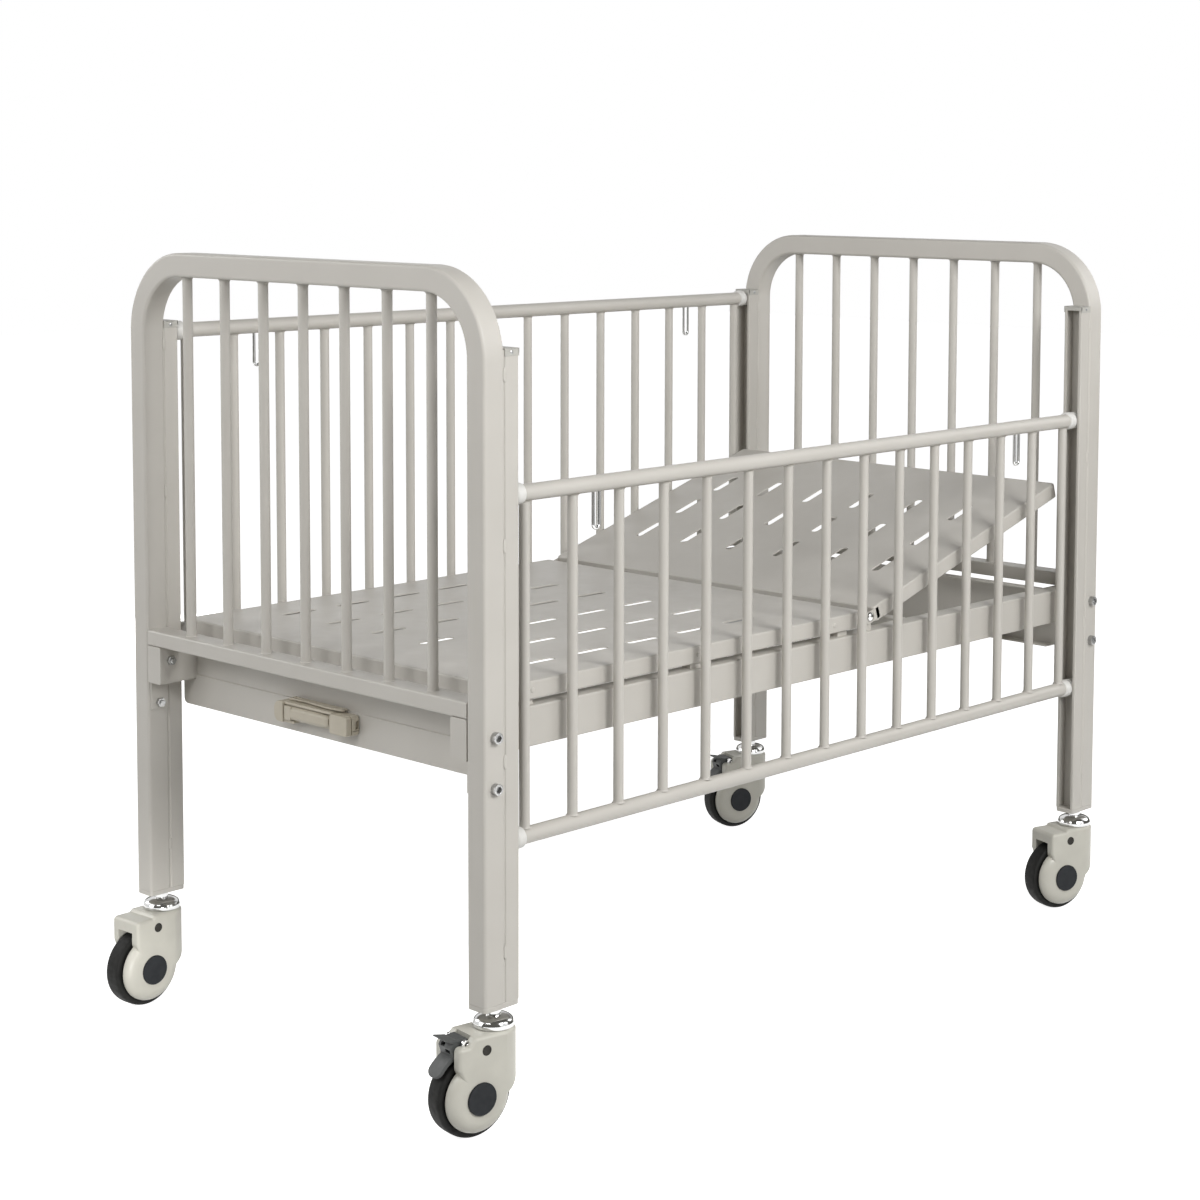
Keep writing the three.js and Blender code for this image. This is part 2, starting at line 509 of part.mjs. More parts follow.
// Backrest pieces are drawn flat, from the hinge line, and turned by their group
function backrestPanel() {
  const columns = [];
  for (let x = BACK_SLOT_FIRST; x < BACK_LENGTH - SLOT_MARGIN; x += SLOT_PITCH) columns.push(x);
  const panel = pan(BACK_START, BACK_LENGTH, HINGE_DROP, columns);
  const ear = new THREE.Shape();
  const root = BACK_START + DECK_CORNER + DECK_SHEET;
  ear.moveTo(root, -HINGE_EAR_R);
  ear.lineTo(root, HINGE_EAR_R - DECK_BEND);
  ear.lineTo(HINGE_EAR_R / 2, HINGE_EAR_R - DECK_BEND);
  ear.absarc(0, 0, HINGE_EAR_R, Math.PI / 3, 1.5 * Math.PI);
  const ears = [-1, 1].map((side) => {
    const span = rising(side * DECK_HALF_WIDTH, side * FLANGE_IN_Y);
    return alongY(ear, ...span, 0, 1, ROUND.spindle);
  });
  const pinHole = bore(HINGE_PIN_R + RUN, -SIDE_Y, SIDE_Y, ROUND.pin, 'y', 0, 0, 0);
  return join([panel, ...ears]).subtract(pinHole);
}

function hingePin(side) {
  const out = DECK_HALF_WIDTH + GAP;
  const tip = FLANGE_IN_Y - LUG.inset - LUG.thick - OVER;
  const { r, crownR, side: crownAt, thick } = HINGE_HEAD;
  const dome = [[0, tip], [HINGE_PIN_R, tip], [HINGE_PIN_R, out], [r, out]];
  dome.push([crownR, out + crownAt], [0, out + thick]);
  const profile = side > 0 ? dome : dome.map(([radius, along]) => [radius, -along]).reverse();
  return turned(profile, ROUND.pin, 'y', HINGE_X, 0, HINGE_Z);
}

// Lift lever: two plates under the backrest with slots that follow the nut's trunnions
function trunnionInLever(angle) {
  const x = nutOffset(angle);
  const c = Math.cos(angle);
  const s = Math.sin(angle);
  return [x * c - SCREW_DROP * s, -x * s - SCREW_DROP * c];
}

function liftLever() {
  const { thick, gap, rim, reach, tip, neck, throat, bridge, heel } = LEVER;
  const under = HINGE_DROP - DECK_SHEET - GAP;
  const start = BACK_START + DECK_SHEET + DECK_LIP + OVER;
  const below = HINGE_DROP - DECK_FLANGE - 2 * DECK_SHEET;
  const path = [];
  for (let i = 0; i <= LEVER_SLOT_STEPS; i++) path.push(trunnionInLever((FULL * i) / LEVER_SLOT_STEPS));
  const flat = path[0];
  const middle = path[LEVER_SLOT_STEPS / 2];
  const raised = path[LEVER_SLOT_STEPS];
  const outline = [[start, under], [reach, under], [reach, under - tip], [neck, under - throat]];
  outline.push([middle[0], flat[1] - rim], [raised[0] - rim, raised[1] - rim], [raised[0] - rim, raised[1]]);
  outline.push([middle[0], middle[1] + rim], [start - heel, below], [start, below]);
  const loose = TRUNNION_R + TRUNNION_PLAY;
  const slot = path.map(([x, z]) => bore(loose, -NUT.across, NUT.across, ROUND.spindle, 'y', x, SCREW_Y, z));
  const inner = NUT.across / 2 + gap;
  const plates = [-1, 1].map((side) => {
    const span = rising(SCREW_Y + side * inner, SCREW_Y + side * (inner + thick));
    return alongY(polygon(outline), ...span);
  });
  const web = box([start, reach], around(SCREW_Y, 2 * (inner + OVER)), [under - bridge, under]);
  return cut(join([...plates, web]), slot);
}

// Lead screw with a hollow square front end, its nut, hanger and cross member
function leadScrew() {
  const front = -END_BEAM_X - SLEEVE.proud;
  const sleeve = rod(SLEEVE.r, front, front + SLEEVE.length, ROUND.pin, 'x', 0, SCREW_Y, SCREW_Z);
  const shaftX = [front + SLEEVE.length - OVER, SCREW_END_X];
  const shaft = rod(SCREW_R, ...shaftX, ROUND.pin, 'x', 0, SCREW_Y, SCREW_Z);
  const bar = DRIVE_BAR.side + 2 * RUN;
  const socketX = [front - OVER, front + SLEEVE.length - SLEEVE.floor];
  const socket = box(socketX, around(SCREW_Y, bar), around(SCREW_Z, bar));
  return sleeve.add(shaft).subtract(socket);
}

function driveNut() {
  const block = roundedRect(SCREW_Y, SCREW_Z, NUT.across, NUT.high, NUT.corner);
  const body = alongX(block, NUT_X - NUT.along / 2, NUT_X + NUT.along / 2);
  const reach = NUT.across / 2 + LEVER.gap + LEVER.thick + OVER;
  const trunnions = rod(TRUNNION_R, -reach, reach, ROUND.pin, 'y', NUT_X, SCREW_Y, SCREW_Z);
  const thread = bore(SCREW_R + RUN, -NUT.along, NUT.along, ROUND.pin, 'x', NUT_X, SCREW_Y, SCREW_Z);
  return body.add(trunnions).subtract(thread);
}

function crossMember() {
  const { side, wall } = CROSS_MEMBER;
  const x = CROSS_MEMBER_X;
  const midZ = BEAM_TOP_Z - side / 2;
  const length = BEAM_IN_Y - GAP;
  const skin = alongY(roundedRect(x, midZ, side, side, TUBE_EDGE), -length, length);
  const inside = side - 2 * wall;
  return skin.subtract(box(around(x, inside), [-length - OVER, length + OVER], around(midZ, inside)));
}

function screwBearing() {
  const top = BEAM_TOP_Z - CROSS_MEMBER.side - GAP;
  const foot = SCREW_Z - HANGER.across / 2;
  const x = [SCREW_END_X - HANGER.thick - HANGER.tail, SCREW_END_X - HANGER.tail];
  const y = around(SCREW_Y, HANGER.across);
  const plate = box(x, y, [foot, top]);
  const foldX = [x[0], CROSS_MEMBER_X + CROSS_MEMBER.side / 2];
  const fold = box(foldX, y, [top - HANGER.thick, top]);
  const reach = HANGER.across;
  const hole = bore(SCREW_R + RUN, -reach, reach, ROUND.pin, 'x', SCREW_END_X, SCREW_Y, SCREW_Z);
  return plate.add(fold).subtract(hole);
}

// Crank: hub on a square bar, arm with a fork at its outer end, grip folded along the arm
function crankHub() {
  const block = roundedRect(SCREW_Y, SCREW_Z, CRANK_HUB.across, CRANK_HUB.high, CRANK_HUB.corner);
  const body = alongX(block, CRANK_FACE_X, CRANK_BACK_X, CRANK_EDGE);
  const barX = [CRANK_BACK_X - DRIVE_BAR.sunk, CRANK_BACK_X + DRIVE_BAR.length];
  return body.add(box(barX, around(SCREW_Y, DRIVE_BAR.side), around(SCREW_Z, DRIVE_BAR.side)));
}

function crankArm() {
  const { plate, ear, corner, tipR, capInset, capBack, ledgeBack } = ARM;
  const from = SCREW_Y + CRANK_HUB.across / 2 + GAP;
  const to = SCREW_Y + CRANK_REACH;
  const fork = GRIP.high / 2 + GRIP.play; // half of the space for the grip
  const high = 2 * (fork + ear);
  const shape = roundedRect((from + to) / 2, SCREW_Z, to - from, high, corner);
  const back = alongX(shape, CRANK_BACK_X - plate, CRANK_BACK_X);
  const earFrom = GRIP_PIVOT_Y - GRIP.thick / 2 - 2 * GRIP.play;
  const cheek = new THREE.Shape();
  cheek.moveTo(CRANK_BACK_X, earFrom);
  cheek.lineTo(CRANK_BACK_X, to);
  cheek.absarc(CRANK_FACE_X + tipR, to - tipR, tipR, Math.PI / 2, Math.PI);
  cheek.lineTo(CRANK_FACE_X, earFrom);
  const cheeks = [SCREW_Z - fork - ear, SCREW_Z + fork].map((z) => alongZ(cheek, z, z + ear));
  const capY = [GRIP_PIVOT_Y + GRIP.thick / 2 + GRIP.play, to - capInset];
  const cap = box([CRANK_FACE_X + capBack, CRANK_BACK_X], capY, around(SCREW_Z, 2 * (fork + OVER)));
  const top = SCREW_Z + fork + ear;
  const ledge = box([CRANK_FACE_X + ledgeBack, CRANK_BACK_X], [from, earFrom + OVER], [top - ear, top]);
  const lipY = [from + ARM_LIP.inset, earFrom + ARM_LIP.inset];
  const raisedLip = box([CRANK_BACK_X - ARM_LIP.deep, CRANK_BACK_X], lipY, [top - OVER, top + ARM_LIP.rise]);
  const pinReach = fork + OVER;
  const pin = rod(GRIP.pinR, -pinReach, pinReach, ROUND.spindle, 'z', GRIP_X, GRIP_PIVOT_Y, SCREW_Z);
  return join([back, ...cheeks, cap, ledge, raisedLip, pin]);
}

function crankGrip() {
  const { thick, high, length, corner, pinR } = GRIP;
  const half = thick / 2;
  const end = GRIP_PIVOT_Y - length;
  const shape = new THREE.Shape();
  shape.moveTo(GRIP_X + half, end + corner);
  shape.lineTo(GRIP_X + half, GRIP_PIVOT_Y);
  shape.absarc(GRIP_X, GRIP_PIVOT_Y, half, 0, Math.PI);
  shape.absarc(GRIP_X - half + corner, end + corner, corner, Math.PI, 1.5 * Math.PI);
  shape.absarc(GRIP_X + half - corner, end + corner, corner, 1.5 * Math.PI, 2 * Math.PI);
  const body = alongZ(shape, ...around(SCREW_Z, high), CRANK_EDGE, 1, 4);
  return body.subtract(bore(pinR + RUN, -high, high, ROUND.spindle, 'z', GRIP_X, GRIP_PIVOT_Y, SCREW_Z));
}

// Drop guard: hollow top and bottom rails with upright spindles
function guardFrame(side, topZ) {
  const y = side * LEG_Y;
  const bottomZ = topZ - GUARD_RAIL_SPACING;
  const heights = [topZ, bottomZ];
  const rails = heights.map((z) =>
    rod(GUARD_RAIL_R, -RAIL_END_X, RAIL_END_X, ROUND.rail, 'x', 0, y, z));
  const spindles = GUARD_SPINDLES.map((x) =>
    rod(GUARD_SPINDLE_R, bottomZ, topZ, ROUND.spindle, 'z', x, y, 0));
  const bores = heights.map((z) =>
    bore(RAIL_BORE_R, -RAIL_END_X - OVER, RAIL_END_X + OVER, ROUND.bush, 'x', 0, y, z));
  const slots = [-1, 1].map((end) => {
    const outer = LATCH_HANDLE_X + LATCH_R + OVER;
    const inner = LATCH_HANDLE_X - LATCH_R - LATCH_TRAVEL - OVER;
    const slotZ = [topZ - GUARD_RAIL_R - OVER, topZ];
    return box(rising(end * outer, end * inner), around(y, LATCH_SLOT_WIDTH), slotZ);
  });
  return cut(join([...rails, ...spindles]), [...bores, ...slots]);
}

// End bush: a plug in the rail, a sleeve over its end and a head that slides in the channel
function endBush(end, side, z, boreR) {
  const plugX = RAIL_END_X - BUSH.plug;
  const plugR = RAIL_BORE_R - GAP;
  const collarX = RAIL_END_X + GAP;
  const sleeveX = RAIL_END_X - BUSH.sleeve;
  const seatR = GUARD_RAIL_R / Math.cos(Math.PI / ROUND.bush) + GAP;
  const sleeveR = seatR + BUSH.sleeveWall;
  const profile = [[boreR, plugX], [plugR, plugX], [plugR, collarX], [seatR, collarX], [seatR, sleeveX]];
  profile.push([sleeveR - BUSH.edge, sleeveX], [sleeveR, sleeveX + BUSH.edge], [sleeveR, COLLAR_X]);
  profile.push([BUSH.neckR, COLLAR_X], [BUSH.neckR, BUSH_LIP_X]);
  profile.push([BUSH.headR, BUSH_LIP_X], [BUSH.headR, BUSH_HEAD_X], [boreR, BUSH_HEAD_X]);
  if (boreR > 0) profile.push([boreR, plugX]);
  const facing = end > 0 ? profile : profile.map(([r, along]) => [r, -along]).reverse();
  return turned(facing, ROUND.bush, 'x', 0, side * LEG_Y, z);
}

// Latch rod: runs inside the top rail to the channel, with a handle hanging through a slot
function latchRod(end, side, z) {
  const tip = CHANNEL_BACK_X - CHANNEL_WALL - GAP;
  const x = end * LATCH_HANDLE_X;
  const bolt = rod(LATCH_R, ...rising(x, end * tip), ROUND.spindle, 'x', 0, side * LEG_Y, z);
  const foot = -LATCH_HANDLE_DROP;
  const profile = [[0, foot], [LATCH_TIP.r, foot], [LATCH_R, foot + LATCH_TIP.taper]];
  profile.push([LATCH_R, LATCH_R - OVER], [0, LATCH_R]);
  return bolt.add(turned(profile, ROUND.spindle, 'z', x, side * LEG_Y, z));
}

class Helix extends THREE.Curve {
  constructor(start, end, y, z) {
    super();
    Object.assign(this, { start, end, y, z });
  }

  getPoint(t, target = new THREE.Vector3()) {
    const angle = 2 * Math.PI * SPRING.turns * t;
    const x = this.start + this.end * SPRING.length * t;
    return target.set(x, this.y + SPRING.coilR * Math.cos(angle), this.z + SPRING.coilR * Math.sin(angle));
  }
}

function latchSpring(end, side, z) {
  const start = end * (RAIL_END_X - BUSH.plug - SPRING.length - SPRING.wireR - GAP);
  const wire = new THREE.Shape();
  for (let i = 0; i < ROUND.wire; i++) {
    const angle = (2 * Math.PI * i) / ROUND.wire;
    const point = [SPRING.wireR * Math.cos(angle), SPRING.wireR * Math.sin(angle)];
    if (i === 0) wire.moveTo(...point);
    else wire.lineTo(...point);
  }
  const path = new Helix(start, end, side * LEG_Y, z);
  return solidOf(new THREE.ExtrudeGeometry(wire, { steps: SPRING.turns * SPRING.steps, extrudePath: path }));
}

// Casters are drawn about the swivel axis, wheel trailing towards -X, and turned by their group
function casterStem() {
  const foot = HOUSING_TOP_Z + GAP;
  const rim = foot + DOME.rim;
  const profile = [[0, foot - KING_PIN.deep], [KING_PIN.r, foot - KING_PIN.deep], [KING_PIN.r, foot]];
  profile.push([DOME.r, foot]);
  for (const deg of DOME_ANGLES) {
    const angle = THREE.MathUtils.degToRad(deg);
    const r = STEM_R + (DOME.r - STEM_R) * Math.cos(angle);
    profile.push([r, rim + (DOME.high - DOME.rim) * Math.sin(angle)]);
  }
  const top = LEG_FOOT_Z + FOOT_PLATE - GAP;
  profile.push([STEM_R, top], [0, top]);
  return turned(profile, ROUND.dome, 'z', 0, 0, 0);
}

// Side outline of the housing's body about the axle: a nose ahead, a hood or cheeks behind
function bodyOutline({ tail, step, ahead, run, corner }) {
  const top = HOUSING_TOP;
  const nose = CASTER_TRAIL + CASTER_WIDTH / 2;
  const { reach } = BODY_FOOT;
  const points = [[nose, NOSE.foot], [nose, top], [ahead, top], [ahead - run, top - step]];
  points.push([corner - tail, top - step], [-tail, top - step - corner], [-tail, BODY_FOOT.tail]);
  points.push([-reach, reach], [reach, -reach], [NOSE.taperAhead, -NOSE.taperDrop]);
  return polygon(points);
}

// Two disc covers with round rims, still joined across the wheel
function discCovers() {
  const half = CASTER_WIDTH / 2;
  const flat = COVER_R - COVER_RIM;
  const rim = RIM_ANGLES.map((deg) => {
    const angle = THREE.MathUtils.degToRad(deg);
    return [flat + COVER_RIM * Math.sin(angle), half - COVER_RIM + COVER_RIM * Math.cos(angle)];
  });
  const near = rim.map(([r, along]) => [r, -along]);
  return turned([[0, -half], ...near, ...rim.reverse(), [0, half]], ROUND.disc, 'y', 0, 0, 0);
}

function casterHousing(brake) {
  const half = CASTER_WIDTH / 2;
  const aboutAxle = (solid) => solid.translate([-CASTER_TRAIL, 0, AXLE_Z]);
  const body = alongY(bodyOutline(brake ? CHEEKS : HOOD), -half, half, BODY_EDGE);
  const block = aboutAxle(body.add(discCovers()));
  const plan = new THREE.Shape();
  const behind = -CASTER_TRAIL - 2 * WHEEL_R;
  plan.moveTo(behind, -half);
  plan.lineTo(0, -half);
  plan.absarc(0, 0, half, -Math.PI / 2, Math.PI / 2);
  plan.lineTo(behind, half);
  const rounded = block.intersect(alongZ(plan, -OVER, HOUSING_TOP_Z + OVER, 0, 1, ROUND.spindle));
  const space = new THREE.Shape().absarc(0, 0, WHEEL_R + WHEEL_CLEAR, 0, 2 * Math.PI);
  const slot = WHEEL_SPACE / 2;
  const tools = [aboutAxle(alongY(space, -slot, slot, 0, 1, SPACE_STEPS))];
  tools.push(bore(AXLE_R + RUN, -CASTER_WIDTH, CASTER_WIDTH, ROUND.pin, 'y', -CASTER_TRAIL, 0, AXLE_Z));
  tools.push(bore(KING_PIN.r + RUN, -KING_PIN.deep - OVER, OVER, ROUND.pin, 'z', 0, 0, HOUSING_TOP_Z));
  if (!brake) return cut(rounded, tools);
  const { back, hubR, hubGap, pinR } = PEDAL_PIVOT;
  const openX = [-2 * WHEEL_R, hubR + hubGap - back];
  tools.push(aboutAxle(box(openX, [-slot, slot], [0, HOUSING_TOP + OVER])));
  const pinZ = AXLE_Z + PEDAL_PIVOT_UP;
  tools.push(bore(pinR + RUN, -half, half, ROUND.spindle, 'y', -CASTER_TRAIL - back, 0, pinZ));
  return cut(join([rounded, ...pedalEars().map(aboutAxle)]), tools);
}

// Two ears on the housing carry the brake pedal's pin
function pedalEars() {
  const { back, earR, earThick } = PEDAL_PIVOT;
  const shape = new THREE.Shape();
  const foot = HOUSING_TOP - CHEEKS.step - PEDAL_PIVOT.earSunk;
  shape.moveTo(-back - earR, foot);
  shape.lineTo(-back + earR, foot);
  shape.absarc(-back, PEDAL_PIVOT_UP, earR, 0, Math.PI);
  const inner = WHEEL_SPACE / 2 + GAP;
  const spans = [[-inner - earThick, -inner], [inner, inner + earThick]];
  return spans.map((span) => alongY(shape, ...span, 0, 1, BEND_STEPS));
}

function casterWheel() {
  const half = WHEEL_WIDTH / 2;
  const { hubR, hubEdge, hubInset, tread, wall, recess, crown } = WHEEL;
  const hubFace = half - hubInset;
  const outward = [[AXLE_R + RUN, hubFace], [hubR, hubFace], [hubR + hubEdge, half - recess]];
  outward.push([WHEEL_R - tread, half - recess], [WHEEL_R - wall, half], [WHEEL_R, half - crown]);
  const near = outward.map(([r, along]) => [r, -along]);
  const far = [...outward].reverse();
  return turned([...near, ...far, near[0]], ROUND.wheel, 'y', -CASTER_TRAIL, 0, AXLE_Z);
}

function casterAxle() {
  const face = CASTER_WIDTH / 2 + GAP;
  const out = face + AXLE_CAP.thick;
  const { r, edge } = AXLE_CAP;
  const profile = [[0, -out], [r - edge, -out], [r, -face], [AXLE_R, -face]];
  profile.push([AXLE_R, face], [r, face], [r - edge, out], [0, out]);
  return turned(profile, ROUND.cap, 'y', -CASTER_TRAIL, 0, AXLE_Z);
}

// Brake pedal: a curved plate over the tyre, a toe tab and a hub on a pin between the ears
function brakePedal() {
  const { back, hubR, pinR, earThick } = PEDAL_PIVOT;
  const up = PEDAL_PIVOT_UP;
  const toe = up + PEDAL_TAB.rise;
  const half = PEDAL.width / 2;
  const [low, high] = [PEDAL.lowDeg, PEDAL.highDeg].map((deg) => THREE.MathUtils.degToRad(deg));
  const inner = WHEEL_R + PEDAL.clear;
  const blade = new THREE.Shape();
  blade.absarc(0, 0, inner, high, low);
  blade.absarc(0, 0, inner + PEDAL.thick, low, high, true);
  const tab = new THREE.Shape();
  tab.moveTo(-back, up + hubR - OVER);
  tab.lineTo(-back - PEDAL_TAB.root, up + hubR - 2 * OVER);
  tab.lineTo(-PEDAL_TAB.reach, toe);
  tab.lineTo(-PEDAL_TAB.reach + OVER, toe - PEDAL_TAB.thick);
  tab.lineTo(-back - PEDAL_TAB.bend, up - PEDAL_TAB.thick);
  tab.lineTo(-back - PEDAL_TAB.root, up - PEDAL_TAB.heel);
  tab.lineTo(-back, up - hubR + OVER);
  const pinReach = half + earThick;
  const pieces = [alongY(blade, -half, half, 0, 1, BEND_STEPS), alongY(tab, -half, half)];
  pieces.push(rod(hubR, -half, half, ROUND.pin, 'y', -back, 0, up));
  pieces.push(rod(pinR, -pinReach, pinReach, ROUND.spindle, 'y', -back, 0, up));
  return join(pieces).translate([-CASTER_TRAIL, 0, AXLE_Z]);
}

// Assembly
for (const [name, end] of [['foot', -1], ['head', 1]]) {
  place(`${name}_arch_tube`, archTube(end), paint);
  place(`${name}_spindle_rail`, spindleRail(end), paint);
  place(`${name}_end_beam`, endBeam(end, end < 0), paint);
  for (const [sideName, side] of [['near', -1], ['far', 1]]) {
    place(`${sideName}_${name}_channel`, guideChannel(end, side), paint);
  }
}
for (const [name, side] of [['near', -1], ['far', 1]]) {
  place(`${name}_side_beam`, sideBeam(side), paint);
  place(`${name}_hinge_pin`, hingePin(side), chrome);
}
place('foot_deck_panel', footDeck(), paint);
place('mid_cross_member', crossMember(), paint);
place('screw_bearing', screwBearing(), steel);

const backrest = new THREE.Group();
backrest.position.set(HINGE_X, 0, HINGE_Z);
backrest.rotation.y = -REST;
cot.add(backrest);
place('backrest_panel', backrestPanel(), paint, backrest);
place('backrest_lift_lever', liftLever(), steel, backrest);

place('lead_screw', leadScrew(), steel);
place('drive_nut', driveNut(), steel);
place('crank_hub', crankHub(), beige);
place('crank_arm', crankArm(), beige);
place('crank_grip', crankGrip(), beige);

for (const [name, side, topZ] of [['near', -1, GUARD_LOW_Z], ['far', 1, GUARD_HIGH_Z]]) {
  place(`${name}_guard_frame`, guardFrame(side, topZ), paint);
  for (const [endName, end] of [['foot', -1], ['head', 1]]) {
    place(`${name}_${endName}_top_bush`, endBush(end, side, topZ, LATCH_R + RUN), nylon);
    place(`${name}_${endName}_bottom_bush`, endBush(end, side, topZ - GUARD_RAIL_SPACING, 0), nylon);
    place(`${name}_${endName}_latch_rod`, latchRod(end, side, topZ), chrome);
    place(`${name}_${endName}_latch_spring`, latchSpring(end, side, topZ), steel);
  }
}

for (const { name, end, side, yawDeg, brake } of CASTERS) {
  const foot = new THREE.Group();
  foot.position.set(end * CASTER_X, side * LEG_Y, 0);
  cot.add(foot);
  place(`${name}_caster_stem`, casterStem(), chrome, foot);
  const swivel = new THREE.Group();
  swivel.rotation.z = THREE.MathUtils.degToRad(yawDeg);
  foot.add(swivel);
  place(`${name}_caster_housing`, casterHousing(brake), cover, swivel);
  place(`${name}_caster_wheel`, casterWheel(), tyre, swivel);
  place(`${name}_caster_axle`, casterAxle(), slate, swivel);
  if (brake) place(`${name}_brake_pedal`, brakePedal(), pedalGrey, swivel);
}

// Stand the cot on z = 0, centred on the origin
cot.updateMatrixWorld(true);
const bounds = new THREE.Box3().setFromObject(cot, true);
const centre = bounds.getCenter(new THREE.Vector3());
cot.position.set(-centre.x, -centre.y, -bounds.min.z);

export default cot;
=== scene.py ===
# Pediatric hospital cot: the finished look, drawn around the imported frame. Metres, +Z up.
import json
from math import atan2, cos, degrees, pi, radians, sin, tan

import bmesh
import bpy
from mathutils import Matrix, Vector


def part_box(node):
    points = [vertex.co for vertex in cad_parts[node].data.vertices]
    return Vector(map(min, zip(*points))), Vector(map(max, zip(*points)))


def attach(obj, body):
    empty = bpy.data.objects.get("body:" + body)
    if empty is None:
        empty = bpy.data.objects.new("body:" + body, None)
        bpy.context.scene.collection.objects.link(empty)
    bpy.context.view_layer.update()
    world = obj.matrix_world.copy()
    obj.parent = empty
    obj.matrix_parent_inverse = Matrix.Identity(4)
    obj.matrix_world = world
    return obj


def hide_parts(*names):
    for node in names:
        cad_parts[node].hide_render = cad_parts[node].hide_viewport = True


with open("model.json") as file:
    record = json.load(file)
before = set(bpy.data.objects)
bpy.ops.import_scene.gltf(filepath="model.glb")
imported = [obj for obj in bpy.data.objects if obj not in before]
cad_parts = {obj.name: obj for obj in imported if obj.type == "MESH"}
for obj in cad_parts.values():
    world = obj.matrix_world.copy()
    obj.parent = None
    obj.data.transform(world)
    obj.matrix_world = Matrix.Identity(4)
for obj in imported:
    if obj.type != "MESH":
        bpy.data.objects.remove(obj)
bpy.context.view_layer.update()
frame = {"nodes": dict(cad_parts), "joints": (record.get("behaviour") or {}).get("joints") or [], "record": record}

MM = 0.001

# Camera: where the photograph was taken from, about the middle of the frame
PHOTO_SIZE = 1200
FOCAL_PIXELS = 2442.7
PRINCIPAL_POINT = (674.7, 370.0)
CAMERA_PLACE = (-3.0792, -2.9242, 1.3922)
CAMERA_YAW = radians(47.113)
CAMERA_PITCH = radians(-4.876)
CAMERA_ROLL = radians(0.259)
SENSOR = 36.0

# Tubes, sheet and fasteners
TUBE_ACROSS = 38 * MM
TUBE_EDGE = 5 * MM
ARCH_RADIUS = 130 * MM
RAIL_HEIGHT = 25 * MM
RAIL_EDGE = 3.5 * MM
END_SPINDLE_R = 8 * MM
END_PITCH = 97.5 * MM
GUARD_SPINDLE_R = 8 * MM
GUARD_PITCH = 97.5 * MM
GUARD_RAIL_R = 12.5 * MM
GUARD_RAIL_WALL = 1.8 * MM
LATCH_R = 4 * MM
LATCH_TRAVEL = 12 * MM
LATCH_WIRE_R = 2.9 * MM
LATCH_BEND = 6.2 * MM
LATCH_HANG = 57 * MM
LATCH_GAP = 0.8 * MM
WELD = 2.2 * MM
CHANNEL_WALL = 2 * MM
CHANNEL_SLOT = 26 * MM
CHANNEL_EDGE = 2.5 * MM
CHANNEL_TRIM = 8 * MM
CAP_LID = 2 * MM
CAP_SKIRT = 11.6 * MM
CAP_FRONT = 8 * MM
CAP_PROUD = 0.5 * MM
FOOT_PLATE = 8 * MM
SHEET = 2 * MM
PAN_FLANGE = 28 * MM
PAN_LIP = 12 * MM
PAN_BEND = 3.2 * MM
PAN_CORNER = 6 * MM
SLOT_LENGTH = 70 * MM
SLOT_WIDTH = 14 * MM
SLOT_PITCH = 115 * MM
SLOT_EDGE = 0.7 * MM
BOLT_HEAD_R = 8.5 * MM
BOLT_HEAD = 9 * MM
BOLT_HEIGHTS = (578 * MM, 504 * MM)

CRANK_DEPTH = 26 * MM
ARM_LIP_RISE = 5 * MM

# Casters
WHEEL_R = 62.5 * MM
WHEEL_WIDTH = 30 * MM
COVER_WIDTH = 66 * MM
COVER_R = 52.5 * MM
COVER_RIM = (18 * MM, 14 * MM)
COVER_EDGE = 5.5 * MM
HOUSING_TOP = 90 * MM
TRAIL = 42 * MM
PEDAL_BACK = -18 * MM
PEDAL_UP = 80 * MM
PEDAL_HALF = 16.5 * MM

CORNERS = ("near_foot", "far_foot", "near_head", "far_head")
BRAKED = ("near_foot", "far_head")

# The frame's own places
foot_lo, foot_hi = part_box("foot_arch_tube")
head_lo, head_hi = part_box("head_arch_tube")
ORIGIN = Vector(((foot_lo.x + head_hi.x) / 2, (foot_lo.y + foot_hi.y) / 2, 0))
END_X = (head_hi.x - foot_lo.x) / 2
SIDE_Y = (foot_hi.y - foot_lo.y) / 2
TUBE_ALONG = foot_hi.x - foot_lo.x
LEG_X = END_X - TUBE_ALONG / 2
LEG_Y = SIDE_Y - TUBE_ACROSS / 2
LEG_FOOT = foot_lo.z
ARCH_TOP = foot_hi.z
RECORD = frame["record"]
JOINTS = {joint["name"]: joint for joint in frame["joints"]}


def cot_box(node):
    """Lowest and highest corner of a node, measured from the middle of the frame."""
    lo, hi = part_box(node)
    return lo - ORIGIN, hi - ORIGIN


def joint_place(name):
    return Vector(JOINTS[name]["pos_m"]) - ORIGIN


def sign_of(corner):
    """Which end and which side a corner's name means."""
    end = -1 if corner.endswith("foot") else 1
    side = -1 if corner.startswith("near") else 1
    return end, side


# Outlines
def rounded_rect(width, height, radius, steps=5):
    half_w, half_h = width / 2, height / 2
    corners = [(-half_w, -half_h), (half_w, -half_h), (half_w, half_h), (-half_w, half_h)]
    return rounded(corners, radius, steps)


